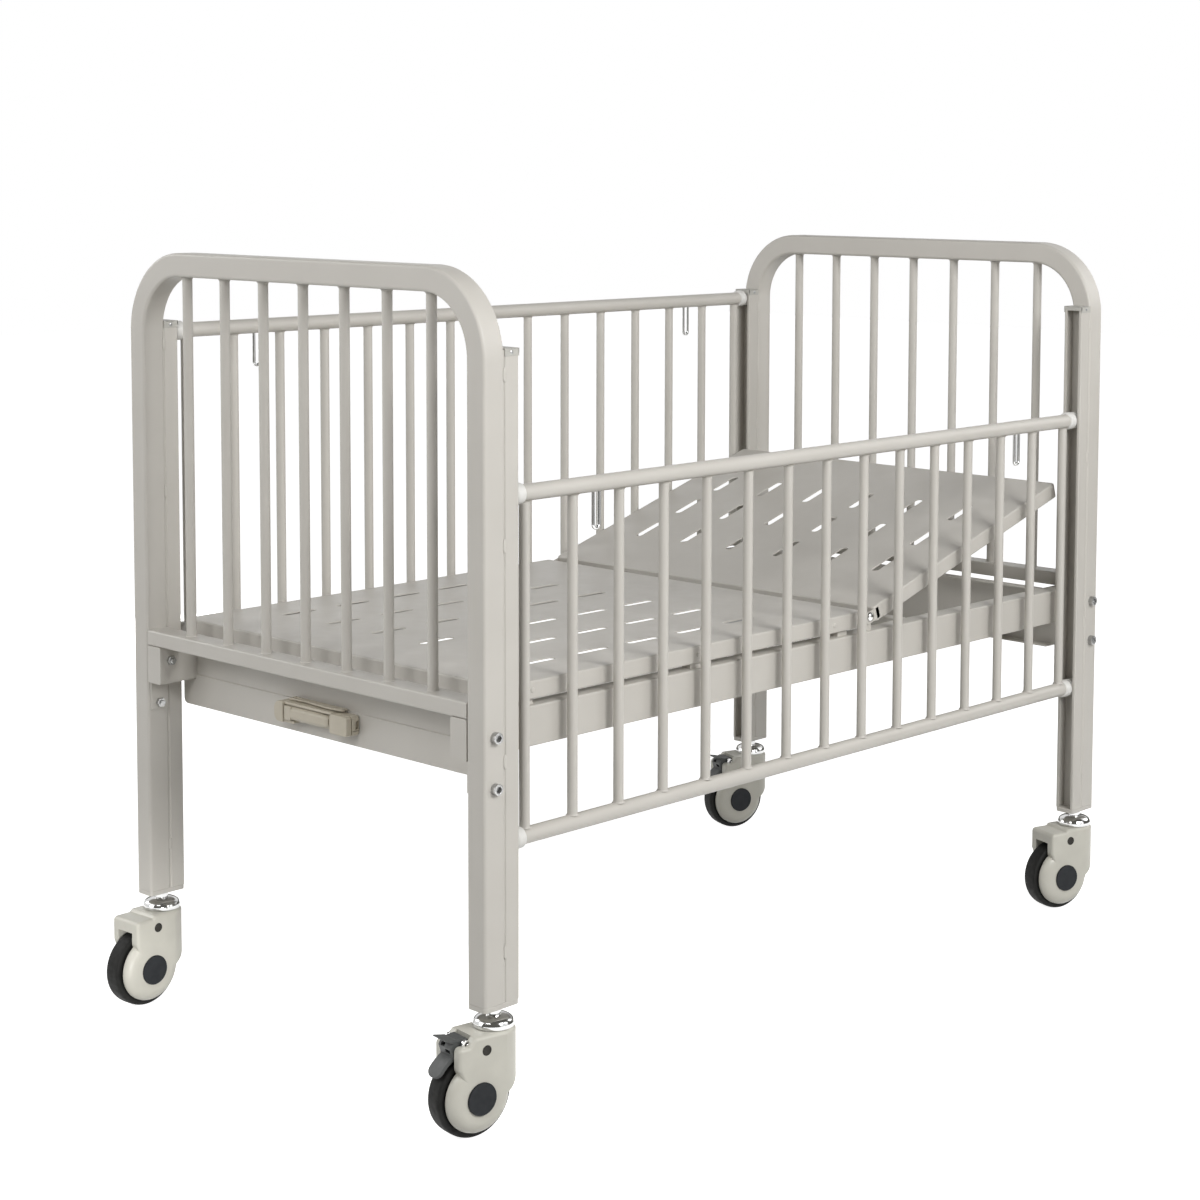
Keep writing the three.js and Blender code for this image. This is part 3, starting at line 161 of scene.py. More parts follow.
def rounded(points, radius, steps=5):
    """A polygon with each corner rounded; radius is one value or one per corner."""
    points = [Vector(p) for p in points]
    radii = radius if isinstance(radius, (list, tuple)) else [radius] * len(points)
    outline = []
    for i, corner in enumerate(points):
        if radii[i] <= 0:
            outline.append(corner)
            continue
        before = (points[i - 1] - corner).normalized()
        after = (points[(i + 1) % len(points)] - corner).normalized()
        half = before.angle(after) / 2
        centre = corner + (before + after).normalized() * (radii[i] / sin(half))
        start = corner + before * (radii[i] / tan(half)) - centre
        end = corner + after * (radii[i] / tan(half)) - centre
        first = atan2(start.y, start.x)
        turn = (atan2(end.y, end.x) - first + pi) % (2 * pi) - pi
        for k in range(steps + 1):
            angle = first + turn * k / steps
            outline.append(centre + Vector((cos(angle), sin(angle))) * radii[i])
    return outline


def arc(centre, radius, start, end, steps):
    """Points on an arc, angles in degrees."""
    angles = [radians(start + (end - start) * k / steps) for k in range(steps + 1)]
    return [Vector((centre[0] + radius * cos(a), centre[1] + radius * sin(a))) for a in angles]


def inset(outline, depth):
    """The outline moved inwards, for outlines drawn anticlockwise."""
    moved = []
    for i, p in enumerate(outline):
        a = (p - outline[i - 1]).normalized()
        b = (outline[(i + 1) % len(outline)] - p).normalized()
        normal = Vector((-(a.y + b.y), a.x + b.x))
        if normal.length < 1e-9:
            moved.append(p.copy())
            continue
        normal.normalize()
        lean = max(0.35, normal.dot(Vector((-a.y, a.x))))
        moved.append(p + normal * depth / lean)
    return moved


# Solids
def bridge(bm, a, b):
    count = max(len(a), len(b))
    for i in range(count):
        j = (i + 1) % count
        corners = [a[i % len(a)], a[j % len(a)], b[j % len(b)], b[i % len(b)]]
        face = list(dict.fromkeys(corners))
        if len(face) > 2:
            bm.faces.new(face)


def sweep(bm, rings, loop=False):
    made = [[bm.verts.new(p) for p in ring] for ring in rings]
    for a, b in zip(made, made[1:]):
        bridge(bm, a, b)
    if loop:
        bridge(bm, made[-1], made[0])
    else:
        bm.faces.new(made[0][::-1])
        bm.faces.new(made[-1])


def lathe(bm, profile, matrix, segments=48, closed=False):
    """Turns (radius, height) points about the matrix's z axis."""
    rings = []
    for r, z in profile:
        count = segments if r > 0 else 1
        angles = [2 * pi * k / segments for k in range(count)]
        rings.append([bm.verts.new(matrix @ Vector((r * cos(a), r * sin(a), z))) for a in angles])
    for a, b in zip(rings, rings[1:]):
        bridge(bm, a, b)
    if closed:
        bridge(bm, rings[-1], rings[0])


def rivet(bm, place, radius, high):
    profile = [(radius * cos(radians(a)), high * sin(radians(a))) for a in (0, 15, 30, 45, 60, 75)]
    lathe(bm, [(0, -MM), (radius, -MM)] + profile + [(0, high)], place, 24)


def prism(bm, outline, low, high, matrix, edge=0.0, steps=4):
    """Extrudes an outline along the matrix's z axis, with rounded rims."""
    levels = [(low, 0.0), (high, 0.0)]
    if edge > 0:
        curve = [(edge * (1 - sin(pi / 2 * k / steps)), edge * (1 - cos(pi / 2 * k / steps)))
                 for k in range(steps + 1)]
        levels = [(low + up, depth) for depth, up in curve]
        levels += [(high - up, depth) for depth, up in reversed(curve)]
    rings = []
    for z, depth in levels:
        ring = inset(outline, depth) if depth > 0 else outline
        rings.append([matrix @ Vector((p.x, p.y, z)) for p in ring])
    sweep(bm, rings)


def axes(origin, x, z):
    """A matrix that draws along z with its first direction x."""
    z = Vector(z).normalized()
    x = Vector(x).normalized()
    y = z.cross(x)
    return Matrix.Translation(Vector(origin)) @ Matrix((x, y, z)).transposed().to_4x4()


def along_x(origin=(0, 0, 0)):
    return axes(origin, (0, 1, 0), (1, 0, 0))


def along_y(origin=(0, 0, 0)):
    """Outlines are (x, z) and the solid runs along -Y to +Y."""
    return Matrix.Translation(Vector(origin)) @ Matrix(((1, 0, 0), (0, 0, 1), (0, 1, 0))).to_4x4()


def along_z(origin=(0, 0, 0)):
    return Matrix.Translation(Vector(origin))


def boolean(bm, tool, operation="DIFFERENCE"):
    """Cuts one closed solid with another and returns the result."""
    made = []
    for source in (bm, tool):
        bmesh.ops.recalc_face_normals(source, faces=source.faces)
        mesh = bpy.data.meshes.new("cut")
        source.to_mesh(mesh)
        source.free()
        obj = bpy.data.objects.new("cut", mesh)
        bpy.context.scene.collection.objects.link(obj)
        made.append(obj)
    modifier = made[0].modifiers.new("cut", "BOOLEAN")
    modifier.operation = operation
    modifier.solver = "EXACT"
    modifier.object = made[1]
    bpy.context.view_layer.update()
    evaluated = made[0].evaluated_get(bpy.context.evaluated_depsgraph_get())
    result = bmesh.new()
    result.from_mesh(evaluated.to_mesh())
    for obj in made:
        mesh = obj.data
        bpy.data.objects.remove(obj)
        bpy.data.meshes.remove(mesh)
    return result


def piece(name, bm, material, body, nodes=(), edge=0.0, smooth=32, turn=None):
    """Makes the object, softens its edges and ties it to a body."""
    bmesh.ops.remove_doubles(bm, verts=bm.verts, dist=1e-6)
    bmesh.ops.recalc_face_normals(bm, faces=bm.faces)
    mesh = bpy.data.meshes.new(name)
    bm.to_mesh(mesh)
    bm.free()
    if turn is not None:
        mesh.transform(turn)
    mesh.transform(Matrix.Translation(ORIGIN))
    for polygon in mesh.polygons:
        polygon.use_smooth = True
    mesh.set_sharp_from_angle(angle=radians(smooth))
    mesh.materials.append(material)
    obj = bpy.data.objects.new(name, mesh)
    bpy.context.scene.collection.objects.link(obj)
    if edge > 0:
        bevel = obj.modifiers.new("soft_edges", "BEVEL")
        bevel.width = edge
        bevel.segments = 3
        bevel.limit_method = "ANGLE"
        bevel.angle_limit = radians(smooth)
        bevel.harden_normals = True
    weighted = obj.modifiers.new("even_shading", "WEIGHTED_NORMAL")
    weighted.keep_sharp = True
    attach(obj, body)
    if nodes:
        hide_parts(*nodes)
    return obj


def softened(node, material, body, edge):
    """A CAD piece with its facets joined and its edges rounded."""
    bm = bmesh.new()
    bm.from_mesh(frame["nodes"][node].data)
    bmesh.ops.remove_doubles(bm, verts=bm.verts, dist=1e-5)
    bmesh.ops.dissolve_limit(bm, angle_limit=radians(1), verts=bm.verts, edges=bm.edges)
    bmesh.ops.translate(bm, verts=bm.verts, vec=-ORIGIN)
    return piece(node + "_soft", bm, material, body, (node,), edge)


# Materials
def noise(tree, scale, detail=3.0, stretch=(1, 1, 1)):
    """Noise over the object's own coordinates, in features per metre."""
    coords = tree.nodes.new("ShaderNodeTexCoord")
    mapping = tree.nodes.new("ShaderNodeMapping")
    mapping.inputs["Scale"].default_value = stretch
    texture = tree.nodes.new("ShaderNodeTexNoise")
    texture.inputs["Scale"].default_value = scale
    texture.inputs["Detail"].default_value = detail
    tree.links.new(coords.outputs["Object"], mapping.inputs["Vector"])
    tree.links.new(mapping.outputs["Vector"], texture.inputs["Vector"])
    return texture.outputs["Fac"]


def vary(tree, source, low, high):
    """Spreads a noise between two values."""
    spread = tree.nodes.new("ShaderNodeMapRange")
    spread.inputs["From Min"].default_value = 0.3
    spread.inputs["From Max"].default_value = 0.7
    spread.inputs["To Min"].default_value = low
    spread.inputs["To Max"].default_value = high
    tree.links.new(source, spread.inputs["Value"])
    return spread.outputs["Result"]


def mixed(tree, source, dark, light):
    """A colour between two, led by a noise."""
    ramp = tree.nodes.new("ShaderNodeValToRGB")
    ramp.color_ramp.elements[0].position = 0.3
    ramp.color_ramp.elements[1].position = 0.7
    ramp.color_ramp.elements[0].color = (*dark, 1)
    ramp.color_ramp.elements[1].color = (*light, 1)
    tree.links.new(source, ramp.inputs["Fac"])
    return ramp.outputs["Color"]


def bumps(tree, shader, sources, distance):
    """Adds bumps one after another; sources are (height, strength)."""
    normal = None
    for height, strength in sources:
        bump = tree.nodes.new("ShaderNodeBump")
        bump.inputs["Strength"].default_value = strength
        bump.inputs["Distance"].default_value = distance
        tree.links.new(height, bump.inputs["Height"])
        if normal is not None:
            tree.links.new(normal, bump.inputs["Normal"])
        normal = bump.outputs["Normal"]
    tree.links.new(normal, shader.inputs["Normal"])


def material(name, dark, light, patch, rough, rough_scale, grain, metallic=0.0, stretch=(1, 1, 1)):
    """A finish with patchy colour, uneven gloss and a fine grain; grain is (scale, strength, depth)."""
    made = bpy.data.materials.new(name)
    made.use_nodes = True
    tree = made.node_tree
    shader = tree.nodes["Principled BSDF"]
    shader.inputs["Metallic"].default_value = metallic
    tree.links.new(mixed(tree, noise(tree, patch), dark, light), shader.inputs["Base Color"])
    gloss = vary(tree, noise(tree, rough_scale, 4.0, stretch), *rough)
    tree.links.new(gloss, shader.inputs["Roughness"])
    scale, strength, depth = grain
    bumps(tree, shader, [(noise(tree, scale, 2.0, stretch), strength)], depth)
    return made


PAINT = material("paint", (0.552, 0.528, 0.484), (0.58, 0.556, 0.512), 7, (0.36, 0.46), 40, (900, 0.1, 0.0004))
CHROME = material("chrome", (0.6, 0.6, 0.6), (0.7, 0.7, 0.69), 60, (0.06, 0.15), 90, (300, 0.02, 0.0002), 1.0)
STEEL = material("steel", (0.36, 0.36, 0.36), (0.5, 0.5, 0.49), 60, (0.25, 0.42), 220, (500, 0.12, 0.0003),
                 1.0, (1, 12, 12))
NYLON = material("nylon", (0.72, 0.71, 0.68), (0.78, 0.77, 0.74), 50, (0.38, 0.5), 150, (700, 0.08, 0.0003))
COVER = material("cover", (0.55, 0.535, 0.472), (0.595, 0.58, 0.512), 25, (0.3, 0.42), 60, (1100, 0.07, 0.0003))
TYRE = material("tyre", (0.007, 0.007, 0.0065), (0.014, 0.014, 0.013), 40, (0.55, 0.75), 120, (800, 0.2, 0.0004))
SLATE = material("slate", (0.013, 0.0145, 0.017), (0.019, 0.021, 0.024), 60, (0.5, 0.62), 150, (1400, 0.15, 0.0003))
PEDAL = material("pedal", (0.05, 0.053, 0.052), (0.075, 0.079, 0.077), 50, (0.42, 0.56), 120, (1200, 0.15, 0.0003))
BEIGE = material("beige", (0.52, 0.475, 0.385), (0.56, 0.513, 0.42), 40, (0.42, 0.55), 90, (1000, 0.1, 0.0003))
DARK = material("dark_cap", (0.022, 0.02, 0.017), (0.034, 0.031, 0.026), 80, (0.45, 0.55), 150, (900, 0.1, 0.0003))
PLUG = material("plug", (0.46, 0.45, 0.415), (0.5, 0.49, 0.45), 60, (0.4, 0.5), 120, (900, 0.1, 0.0003))
for dull in (TYRE, SLATE, DARK):
    dull.node_tree.nodes["Principled BSDF"].inputs["Specular IOR Level"].default_value = 0.22
FINISHES = {"paint": PAINT, "chrome": CHROME, "steel": STEEL, "nylon": NYLON, "cover": COVER, "tyre": TYRE,
            "slate": SLATE, "pedal": PEDAL, "beige": BEIGE}

for part in RECORD["subparts"]:
    data = frame["nodes"][part["node"]].data
    data.materials.clear()
    data.materials.append(FINISHES[part["material_slot"]])


# End arches
def arch(end):
    section = rounded_rect(TUBE_ACROSS, TUBE_ALONG, TUBE_EDGE)
    bend_y = SIDE_Y - ARCH_RADIUS
    bend_z = ARCH_TOP - ARCH_RADIUS
    middle = ARCH_RADIUS - TUBE_ACROSS / 2
    path = [(LEG_Y, LEG_FOOT, 0)]
    for k in range(25):
        angle = 90 * k / 24
        path.append((bend_y + middle * cos(radians(angle)), bend_z + middle * sin(radians(angle)), angle))
    for k in range(25):
        angle = 90 + 90 * k / 24
        path.append((-bend_y + middle * cos(radians(angle)), bend_z + middle * sin(radians(angle)), angle))
    path.append((-LEG_Y, LEG_FOOT, 180))
    rings = []
    for y, z, angle in path:
        out = Vector((0, cos(radians(angle)), sin(radians(angle))))
        rings.append([Vector((end * LEG_X + p.y, y, z)) + out * p.x for p in section])
    bm = bmesh.new()
    sweep(bm, rings)
    return bm


def spindle(bm, x, y, low, high, radius):
    """An upright bar with a small weld at each end."""
    profile = [(0, low), (radius + WELD, low), (radius + WELD * 0.4, low + WELD * 0.5), (radius, low + WELD * 1.4)]
    profile += [(radius, high - WELD * 1.4), (radius + WELD * 0.4, high - WELD * 0.5), (radius + WELD, high), (0, high)]
    lathe(bm, profile, along_z((x, y, 0)), 28)


def spread(span, pitch):
    count = int(span / pitch) + 1
    return [(i - (count - 1) / 2) * pitch for i in range(count)]


def end_infill(name, end):
    lo, hi = cot_box(name + "_spindle_rail")
    rail_top = lo.z + RAIL_HEIGHT
    bm = bmesh.new()
    rail = rounded_rect(TUBE_ALONG, RAIL_HEIGHT, RAIL_EDGE)
    prism(bm, rail, lo.y, hi.y, along_y((end * LEG_X, 0, lo.z + RAIL_HEIGHT / 2)))
    for y in spread(2 * (SIDE_Y - ARCH_RADIUS), END_PITCH):
        spindle(bm, end * LEG_X, y, rail_top - MM, hi.z, END_SPINDLE_R)
    return bm


for end_name, end in (("foot", -1), ("head", 1)):
    piece(end_name + "_arch", arch(end), PAINT, "frame", (end_name + "_arch_tube",))
    piece(end_name + "_infill", end_infill(end_name, end), PAINT, "frame", (end_name + "_spindle_rail",))


# Guide channels
def channel_top(corner):
    return cot_box(corner + "_channel")[1].z - CHANNEL_TRIM


def channel(corner):
    end, side = sign_of(corner)
    lo, hi = cot_box(corner + "_channel")
    face = abs(hi.x if end < 0 else lo.x)
    back = END_X - TUBE_ALONG - 0.3 * MM
    half = TUBE_ACROSS / 2
    slot = CHANNEL_SLOT / 2
    deep = back - face
    wall = CHANNEL_WALL
    outline = [(0, -half), (deep, -half), (deep, -slot), (deep - wall, -slot), (deep - wall, wall - half),
               (wall, wall - half), (wall, half - wall), (deep - wall, half - wall), (deep - wall, slot),
               (deep, slot), (deep, half), (0, half)]
    outer = CHANNEL_EDGE
    inner = CHANNEL_EDGE - wall * 0.8
    radii = [outer, outer, 0, 0, inner, inner, inner, inner, 0, 0, outer, outer]
    section = rounded(outline, radii, 4)
    place = axes((end * back, side * LEG_Y, 0), (-end, 0, 0), (0, 0, 1))
    bm = bmesh.new()
    prism(bm, section, lo.z + FOOT_PLATE, channel_top(corner), place)
    plate = rounded_rect(END_X - face, TUBE_ACROSS, TUBE_EDGE)
    prism(bm, plate, lo.z, lo.z + FOOT_PLATE, along_z((end * (END_X + face) / 2, side * LEG_Y, 0)), 1.2 * MM)
    return bm


for corner in CORNERS:
    piece(corner + "_guide", channel(corner), PAINT, "frame", (corner + "_channel",))

for node, edge in (("near_side_beam", 1.5), ("far_side_beam", 1.5), ("foot_end_beam", 1.0), ("head_end_beam", 1.0),
                   ("mid_cross_member", 1.2)):
    softened(node, PAINT, "frame", edge * MM)


# Deck panels
def slot_ring(x, y, z, grow):
    length = SLOT_LENGTH + 2 * grow
    width = SLOT_WIDTH + 2 * grow
    half = (length - width) / 2
    ring = arc((half, 0), width / 2, -90, 90, 10) + arc((-half, 0), width / 2, 90, 270, 10)
    return [Vector((x + p.x, y + p.y, z)) for p in ring]


def rim_rings(outline_at, top):
    """Cross sections of the folded edge: top bend, flange and return lip."""
    bend, foot = PAN_BEND, top - PAN_FLANGE
    outside = [(bend, top)] + [(bend - bend * sin(radians(a)), top - bend + bend * cos(radians(a))) for a in (30, 60, 90)]
    outside += [(bend - bend * cos(radians(a)), foot + bend - bend * sin(radians(a))) for a in (0, 30, 60, 90)]
    outside += [(SHEET + PAN_LIP, foot), (SHEET + PAN_LIP, foot + SHEET)]
    inner = bend - SHEET
    inside = [(bend - inner * sin(radians(a)), foot + bend - inner * cos(radians(a))) for a in (0, 45, 90)]
    inside += [(bend - inner * cos(radians(a)), top - bend + inner * sin(radians(a))) for a in (0, 45, 90)]
    return [[Vector((p.x, p.y, z)) for p in outline_at(depth)] for depth, z in outside + inside]


def fill(bm, loops):
    """Fills a flat face between an outline and its holes."""
    edges = []
    for loop in loops:
        edges += [bm.edges.get((a, b)) or bm.edges.new((a, b)) for a, b in zip(loop, loop[1:] + loop[:1])]
    bmesh.ops.triangle_fill(bm, use_beauty=True, edges=edges)


def pan(x_from, x_to, half_width, top, columns, rows):
    """A folded sheet panel with rows of slots."""
    middle = Vector(((x_from + x_to) / 2, 0))

    def outline_at(depth):
        corner = max(MM, PAN_CORNER - depth)
        ring = rounded_rect(x_to - x_from - 2 * depth, 2 * (half_width - depth), corner, 6)
        return [p + middle for p in ring]

    bm = bmesh.new()
    rings = [[bm.verts.new(p) for p in ring] for ring in rim_rings(outline_at, top)]
    for a, b in zip(rings, rings[1:]):
        bridge(bm, a, b)
    upper, lower = [rings[0]], [rings[-1]]
    for x in columns:
        for y in rows:
            levels = [(top, SLOT_EDGE), (top - SLOT_EDGE, 0), (top - SHEET, 0)]
            loops = [[bm.verts.new(p) for p in slot_ring(x, y, z, grow)] for z, grow in levels]
            for a, b in zip(loops, loops[1:]):
                bridge(bm, a, b)
            upper.append(loops[0])
            lower.append(loops[-1])
    fill(bm, upper)
    fill(bm, lower)
    return bm


def deck_panels():
    lo, hi = cot_box("foot_deck_panel")
    hinge = joint_place("backrest_hinge")
    half_width = (hi.y - lo.y) / 2
    rows = spread(2 * (half_width - 90 * MM), SLOT_PITCH)
    columns = []
    x = hinge.x - 228 * MM
    while x > lo.x + 90 * MM:
        columns.append(x)
        x -= SLOT_PITCH
    deck = pan(lo.x, hi.x, half_width, hi.z, columns, rows)
    piece("foot_deck", deck, PAINT, "frame", ("foot_deck_panel",))
    tilt = radians(JOINTS["backrest_hinge"]["range_deg"][0])
    turn = Matrix.Translation(Vector((hinge.x, 0, hinge.z))) @ Matrix.Rotation(tilt, 4, "Y")
    back = pan(12 * MM, 575 * MM, half_width, hi.z - hinge.z, [(175 + 115 * k) * MM for k in range(3)], rows)
    for side in (-1, 1):
        ear = rounded([(-12 * MM, -12 * MM), (26 * MM, -12 * MM), (26 * MM, 8 * MM), (-12 * MM, 8 * MM)],
                      [9 * MM, 2 * MM, 2 * MM, 9 * MM], 8)
        outer = side * half_width
        span = sorted((outer, outer - side * SHEET))
        prism(back, ear, span[0], span[1], along_y(), 0.5 * MM)
    piece("backrest", back, PAINT, "backrest", ("backrest_panel",), turn=turn)


deck_panels()


# Drop guards
def latch_slot(side_name, end, y, top):
    """The opening under the top rail that a latch handle hangs through."""
    lo, hi = cot_box(side_name + ("_foot" if end < 0 else "_head") + "_latch_rod")
    handle = min(abs(lo.x), abs(hi.x)) + LATCH_R
    middle = end * (handle - LATCH_TRAVEL / 2)
    bm = bmesh.new()
    wide = 2 * (LATCH_WIRE_R + LATCH_GAP)
    hole = rounded_rect(LATCH_TRAVEL + 2 * LATCH_BEND + wide, wide, wide * 0.49, 8)
    prism(bm, hole, top - GUARD_RAIL_R - MM, top - GUARD_RAIL_R / 2, along_z((middle, y, 0)))
    return bm


def guard(side_name):
    lo, hi = cot_box(side_name + "_guard_frame")
    y = (lo.y + hi.y) / 2
    top, bottom = hi.z - GUARD_RAIL_R, lo.z + GUARD_RAIL_R
    bore = GUARD_RAIL_R - GUARD_RAIL_WALL
    profile = [(bore, lo.x), (GUARD_RAIL_R, lo.x), (GUARD_RAIL_R, hi.x), (bore, hi.x)]
    bm = bmesh.new()
    lathe(bm, profile, along_x((0, y, top)), 40, True)
    for end in (-1, 1):
        bm = boolean(bm, latch_slot(side_name, end, y, top))
    lathe(bm, profile, along_x((0, y, bottom)), 40, True)
    for x in spread(2 * (hi.x - GUARD_SPINDLE_R - MM), GUARD_PITCH):
        spindle(bm, x, y, bottom + GUARD_RAIL_R - MM, top - GUARD_RAIL_R + MM, GUARD_SPINDLE_R)
    return bm


def bush(node, end):
    lo, hi = cot_box(node)
    middle = (lo + hi) / 2
    face = abs(cot_box("near_head_channel")[0].x)
    inner = min(abs(lo.x), abs(hi.x))
    outer = max(abs(lo.x), abs(hi.x))
    collar, foot, high = face - 1.0 * MM, face - 19.8 * MM, 16 * MM
    plug = GUARD_RAIL_R - GUARD_RAIL_WALL - 0.3 * MM
    profile = [(0, inner), (plug, inner), (plug, foot), (high - 3.6 * MM, foot), (high - 1.6 * MM, foot + 0.5 * MM)]
    profile += [(high - 0.5 * MM, foot + 1.6 * MM), (high, foot + 3.6 * MM), (high, collar - 6 * MM)]
    profile += [(high - 0.6 * MM, collar - 3.4 * MM), (high - 2 * MM, collar - 1.4 * MM), (high - 4.4 * MM, collar)]
    profile += [(7 * MM, collar), (7 * MM, face + 2.8 * MM), (14 * MM, face + 2.8 * MM), (15 * MM, face + 4 * MM)]
    profile += [(15 * MM, outer - MM), (14 * MM, outer), (0, outer)]
    bm = bmesh.new()
    lathe(bm, profile, axes((0, middle.y, middle.z), (0, 1, 0), (end, 0, 0)), 40)
    return bm


def latch(corner):
    end, side = sign_of(corner)
    lo, hi = cot_box(corner + "_latch_rod")
    radius = LATCH_R
    y = (lo.y + hi.y) / 2
    z = hi.z - radius
    x = min(abs(lo.x), abs(hi.x)) + radius
    tip = max(abs(lo.x), abs(hi.x))
    bm = bmesh.new()
    bolt = [(0, x), (radius, x), (radius, tip - MM), (radius - MM, tip), (0, tip)]
    lathe(bm, bolt, axes((0, y, z), (0, 1, 0), (end, 0, 0)), 24)
    low = z - GUARD_RAIL_R - LATCH_HANG + LATCH_WIRE_R + LATCH_BEND
    path = [(-LATCH_BEND, z, 180)]
    path += [(LATCH_BEND * cos(radians(a)), low + LATCH_BEND * sin(radians(a)), a) for a in range(180, 361, 10)]
    path += [(LATCH_BEND, z, 360)]
    rings = []
    for along, up, angle in path:
        out = Vector((cos(radians(angle)), 0, sin(radians(angle))))
        centre = Vector((end * x + along, y, up))
        turns = [2 * pi * k / 20 for k in range(20)]
        rings.append([centre + (out * cos(t) + Vector((0, sin(t), 0))) * LATCH_WIRE_R for t in turns])
    sweep(bm, rings)
    return bm


for side_name in ("near", "far"):
    body = side_name + "_guard"
    piece(body + "_rails", guard(side_name), PAINT, body, (side_name + "_guard_frame",))
    for end_name, end in (("foot", -1), ("head", 1)):
        corner = side_name + "_" + end_name
        for level in ("top", "bottom"):
            node = corner + "_" + level + "_bush"
            piece(node + "_moulded", bush(node, end), NYLON, body, (node,))
        piece(corner + "_latch_bar", latch(corner), CHROME, corner + "_latch", (corner + "_latch_rod",))


# Hinge pins
def hinge_pin(side):
    lo, hi = cot_box(("near" if side < 0 else "far") + "_hinge_pin")
    tip = min(abs(lo.y), abs(hi.y))
    out = max(abs(lo.y), abs(hi.y))
    shank, head = 4 * MM, 8 * MM
    seat = out - 5 * MM
    profile = [(0, tip), (shank - 0.8 * MM, tip), (shank, tip + 0.8 * MM), (shank, seat), (head, seat)]
    for k in range(9):
        angle = radians(90 * k / 8)
        profile.append((head * cos(angle), seat + MM + 4 * MM * sin(angle)))
    bm = bmesh.new()
    lathe(bm, profile, axes(((lo.x + hi.x) / 2, 0, (lo.z + hi.z) / 2), (1, 0, 0), (0, side, 0)), 32)
    return bm


for side_name, side in (("near", -1), ("far", 1)):
    piece(side_name + "_hinge_bolt", hinge_pin(side), CHROME, "frame", (side_name + "_hinge_pin",))


# Crank drive
def lead_screw():
    """A turned sleeve and a shaft with a rolled thread."""
    lo, hi = cot_box("lead_screw")
    y, z = (lo.y + hi.y) / 2, (lo.z + hi.z) / 2
    sleeve, shaft, root = 9.5 * MM, 8 * MM, 6.9 * MM
    sleeve_end = lo.x + 126 * MM
    pitch, steps = 7 * MM, 20
    bm = bmesh.new()
    place = along_x((0, y, z))
    hole, deep = 5.3 * MM, 20 * MM
    profile = [(0, lo.x + deep), (hole, lo.x + deep), (hole, lo.x), (sleeve - MM, lo.x), (sleeve, lo.x + MM)]
    profile += [(sleeve, sleeve_end - MM), (sleeve - MM, sleeve_end), (0, sleeve_end)]
    lathe(bm, profile, place, 32)
    lathe(bm, [(0, sleeve_end - MM), (root, sleeve_end - MM), (root, hi.x), (0, hi.x)], place, 24)
    turns = int((hi.x - sleeve_end - 24 * MM) / pitch)
    rings = []
    for i in range(turns * steps + 1):
        angle = 2 * pi * i / steps
        x = sleeve_end + 8 * MM + pitch * i / steps
        out = Vector((0, cos(angle), sin(angle)))
        section = ((-2.2, root - MM), (-1.2, shaft), (1.2, shaft), (2.2, root - MM))
        rings.append([Vector((x + dx * MM, y, z)) + out * r for dx, r in section])
    sweep(bm, rings)
    return bm


piece("threaded_screw", lead_screw(), STEEL, "screw", ("lead_screw",), smooth=50)
softened("drive_nut", STEEL, "nut", 0.8 * MM)
softened("backrest_lift_lever", STEEL, "backrest", 0.5 * MM)
softened("screw_bearing", STEEL, "frame", 0.8 * MM)


# Folding crank, stowed along the foot end beam
def crank_hub():
    lo, hi = cot_box("crank_hub")
    back = lo.x + CRANK_DEPTH
    y, z = (lo.y + hi.y) / 2, (lo.z + hi.z) / 2
    wide, high = hi.y - lo.y, hi.z - lo.z
    levels = [(0, 2.4), (0.7, 0.7), (2.4, 0), (9.1, 0), (9.5, 0.4), (9.5, 2.6), (11.5, 2.6), (11.5, 0.4), (11.9, 0)]
    levels = [(lo.x + along * MM, depth * MM) for along, depth in levels]
    levels += [(back - 1.4 * MM, 0), (back, 1.4 * MM)]
    rings = []
    for x, depth in levels:
        section = rounded_rect(wide - 2 * depth, high - 2 * depth, 5 * MM - depth * 0.6)
        rings.append([Vector((x, y + p.x, z + p.y)) for p in section])
    bm = bmesh.new()
    sweep(bm, rings)
    return bm


def hub_cut(wide, high, edge, deep, back, up):
    """A recess in the hub's near face, placed from the hub's front and its middle height."""
    lo, hi = cot_box("crank_hub")
    bm = bmesh.new()
    place = along_y((lo.x + back, 0, (lo.z + hi.z) / 2 + up))
    prism(bm, rounded_rect(wide, high, edge), lo.y - MM, lo.y + deep, place)
    return bm


def hub_block():
    """The hub with its recess, and the square bar that slides in the screw's sleeve."""
    lo, hi = cot_box("crank_hub")
    bm = boolean(crank_hub(), hub_cut(7 * MM, 13 * MM, MM, 5 * MM, 21.5 * MM, 0.5 * MM))
    bm = boolean(bm, hub_cut(13 * MM, 1.6 * MM, 0.4 * MM, 2 * MM, 19 * MM, -8 * MM))
    place = along_x((0, (lo.y + hi.y) / 2, (lo.z + hi.z) / 2))
    prism(bm, rounded_rect(10 * MM, 10 * MM, MM), lo.x + CRANK_DEPTH - MM, hi.x, place)
    return bm


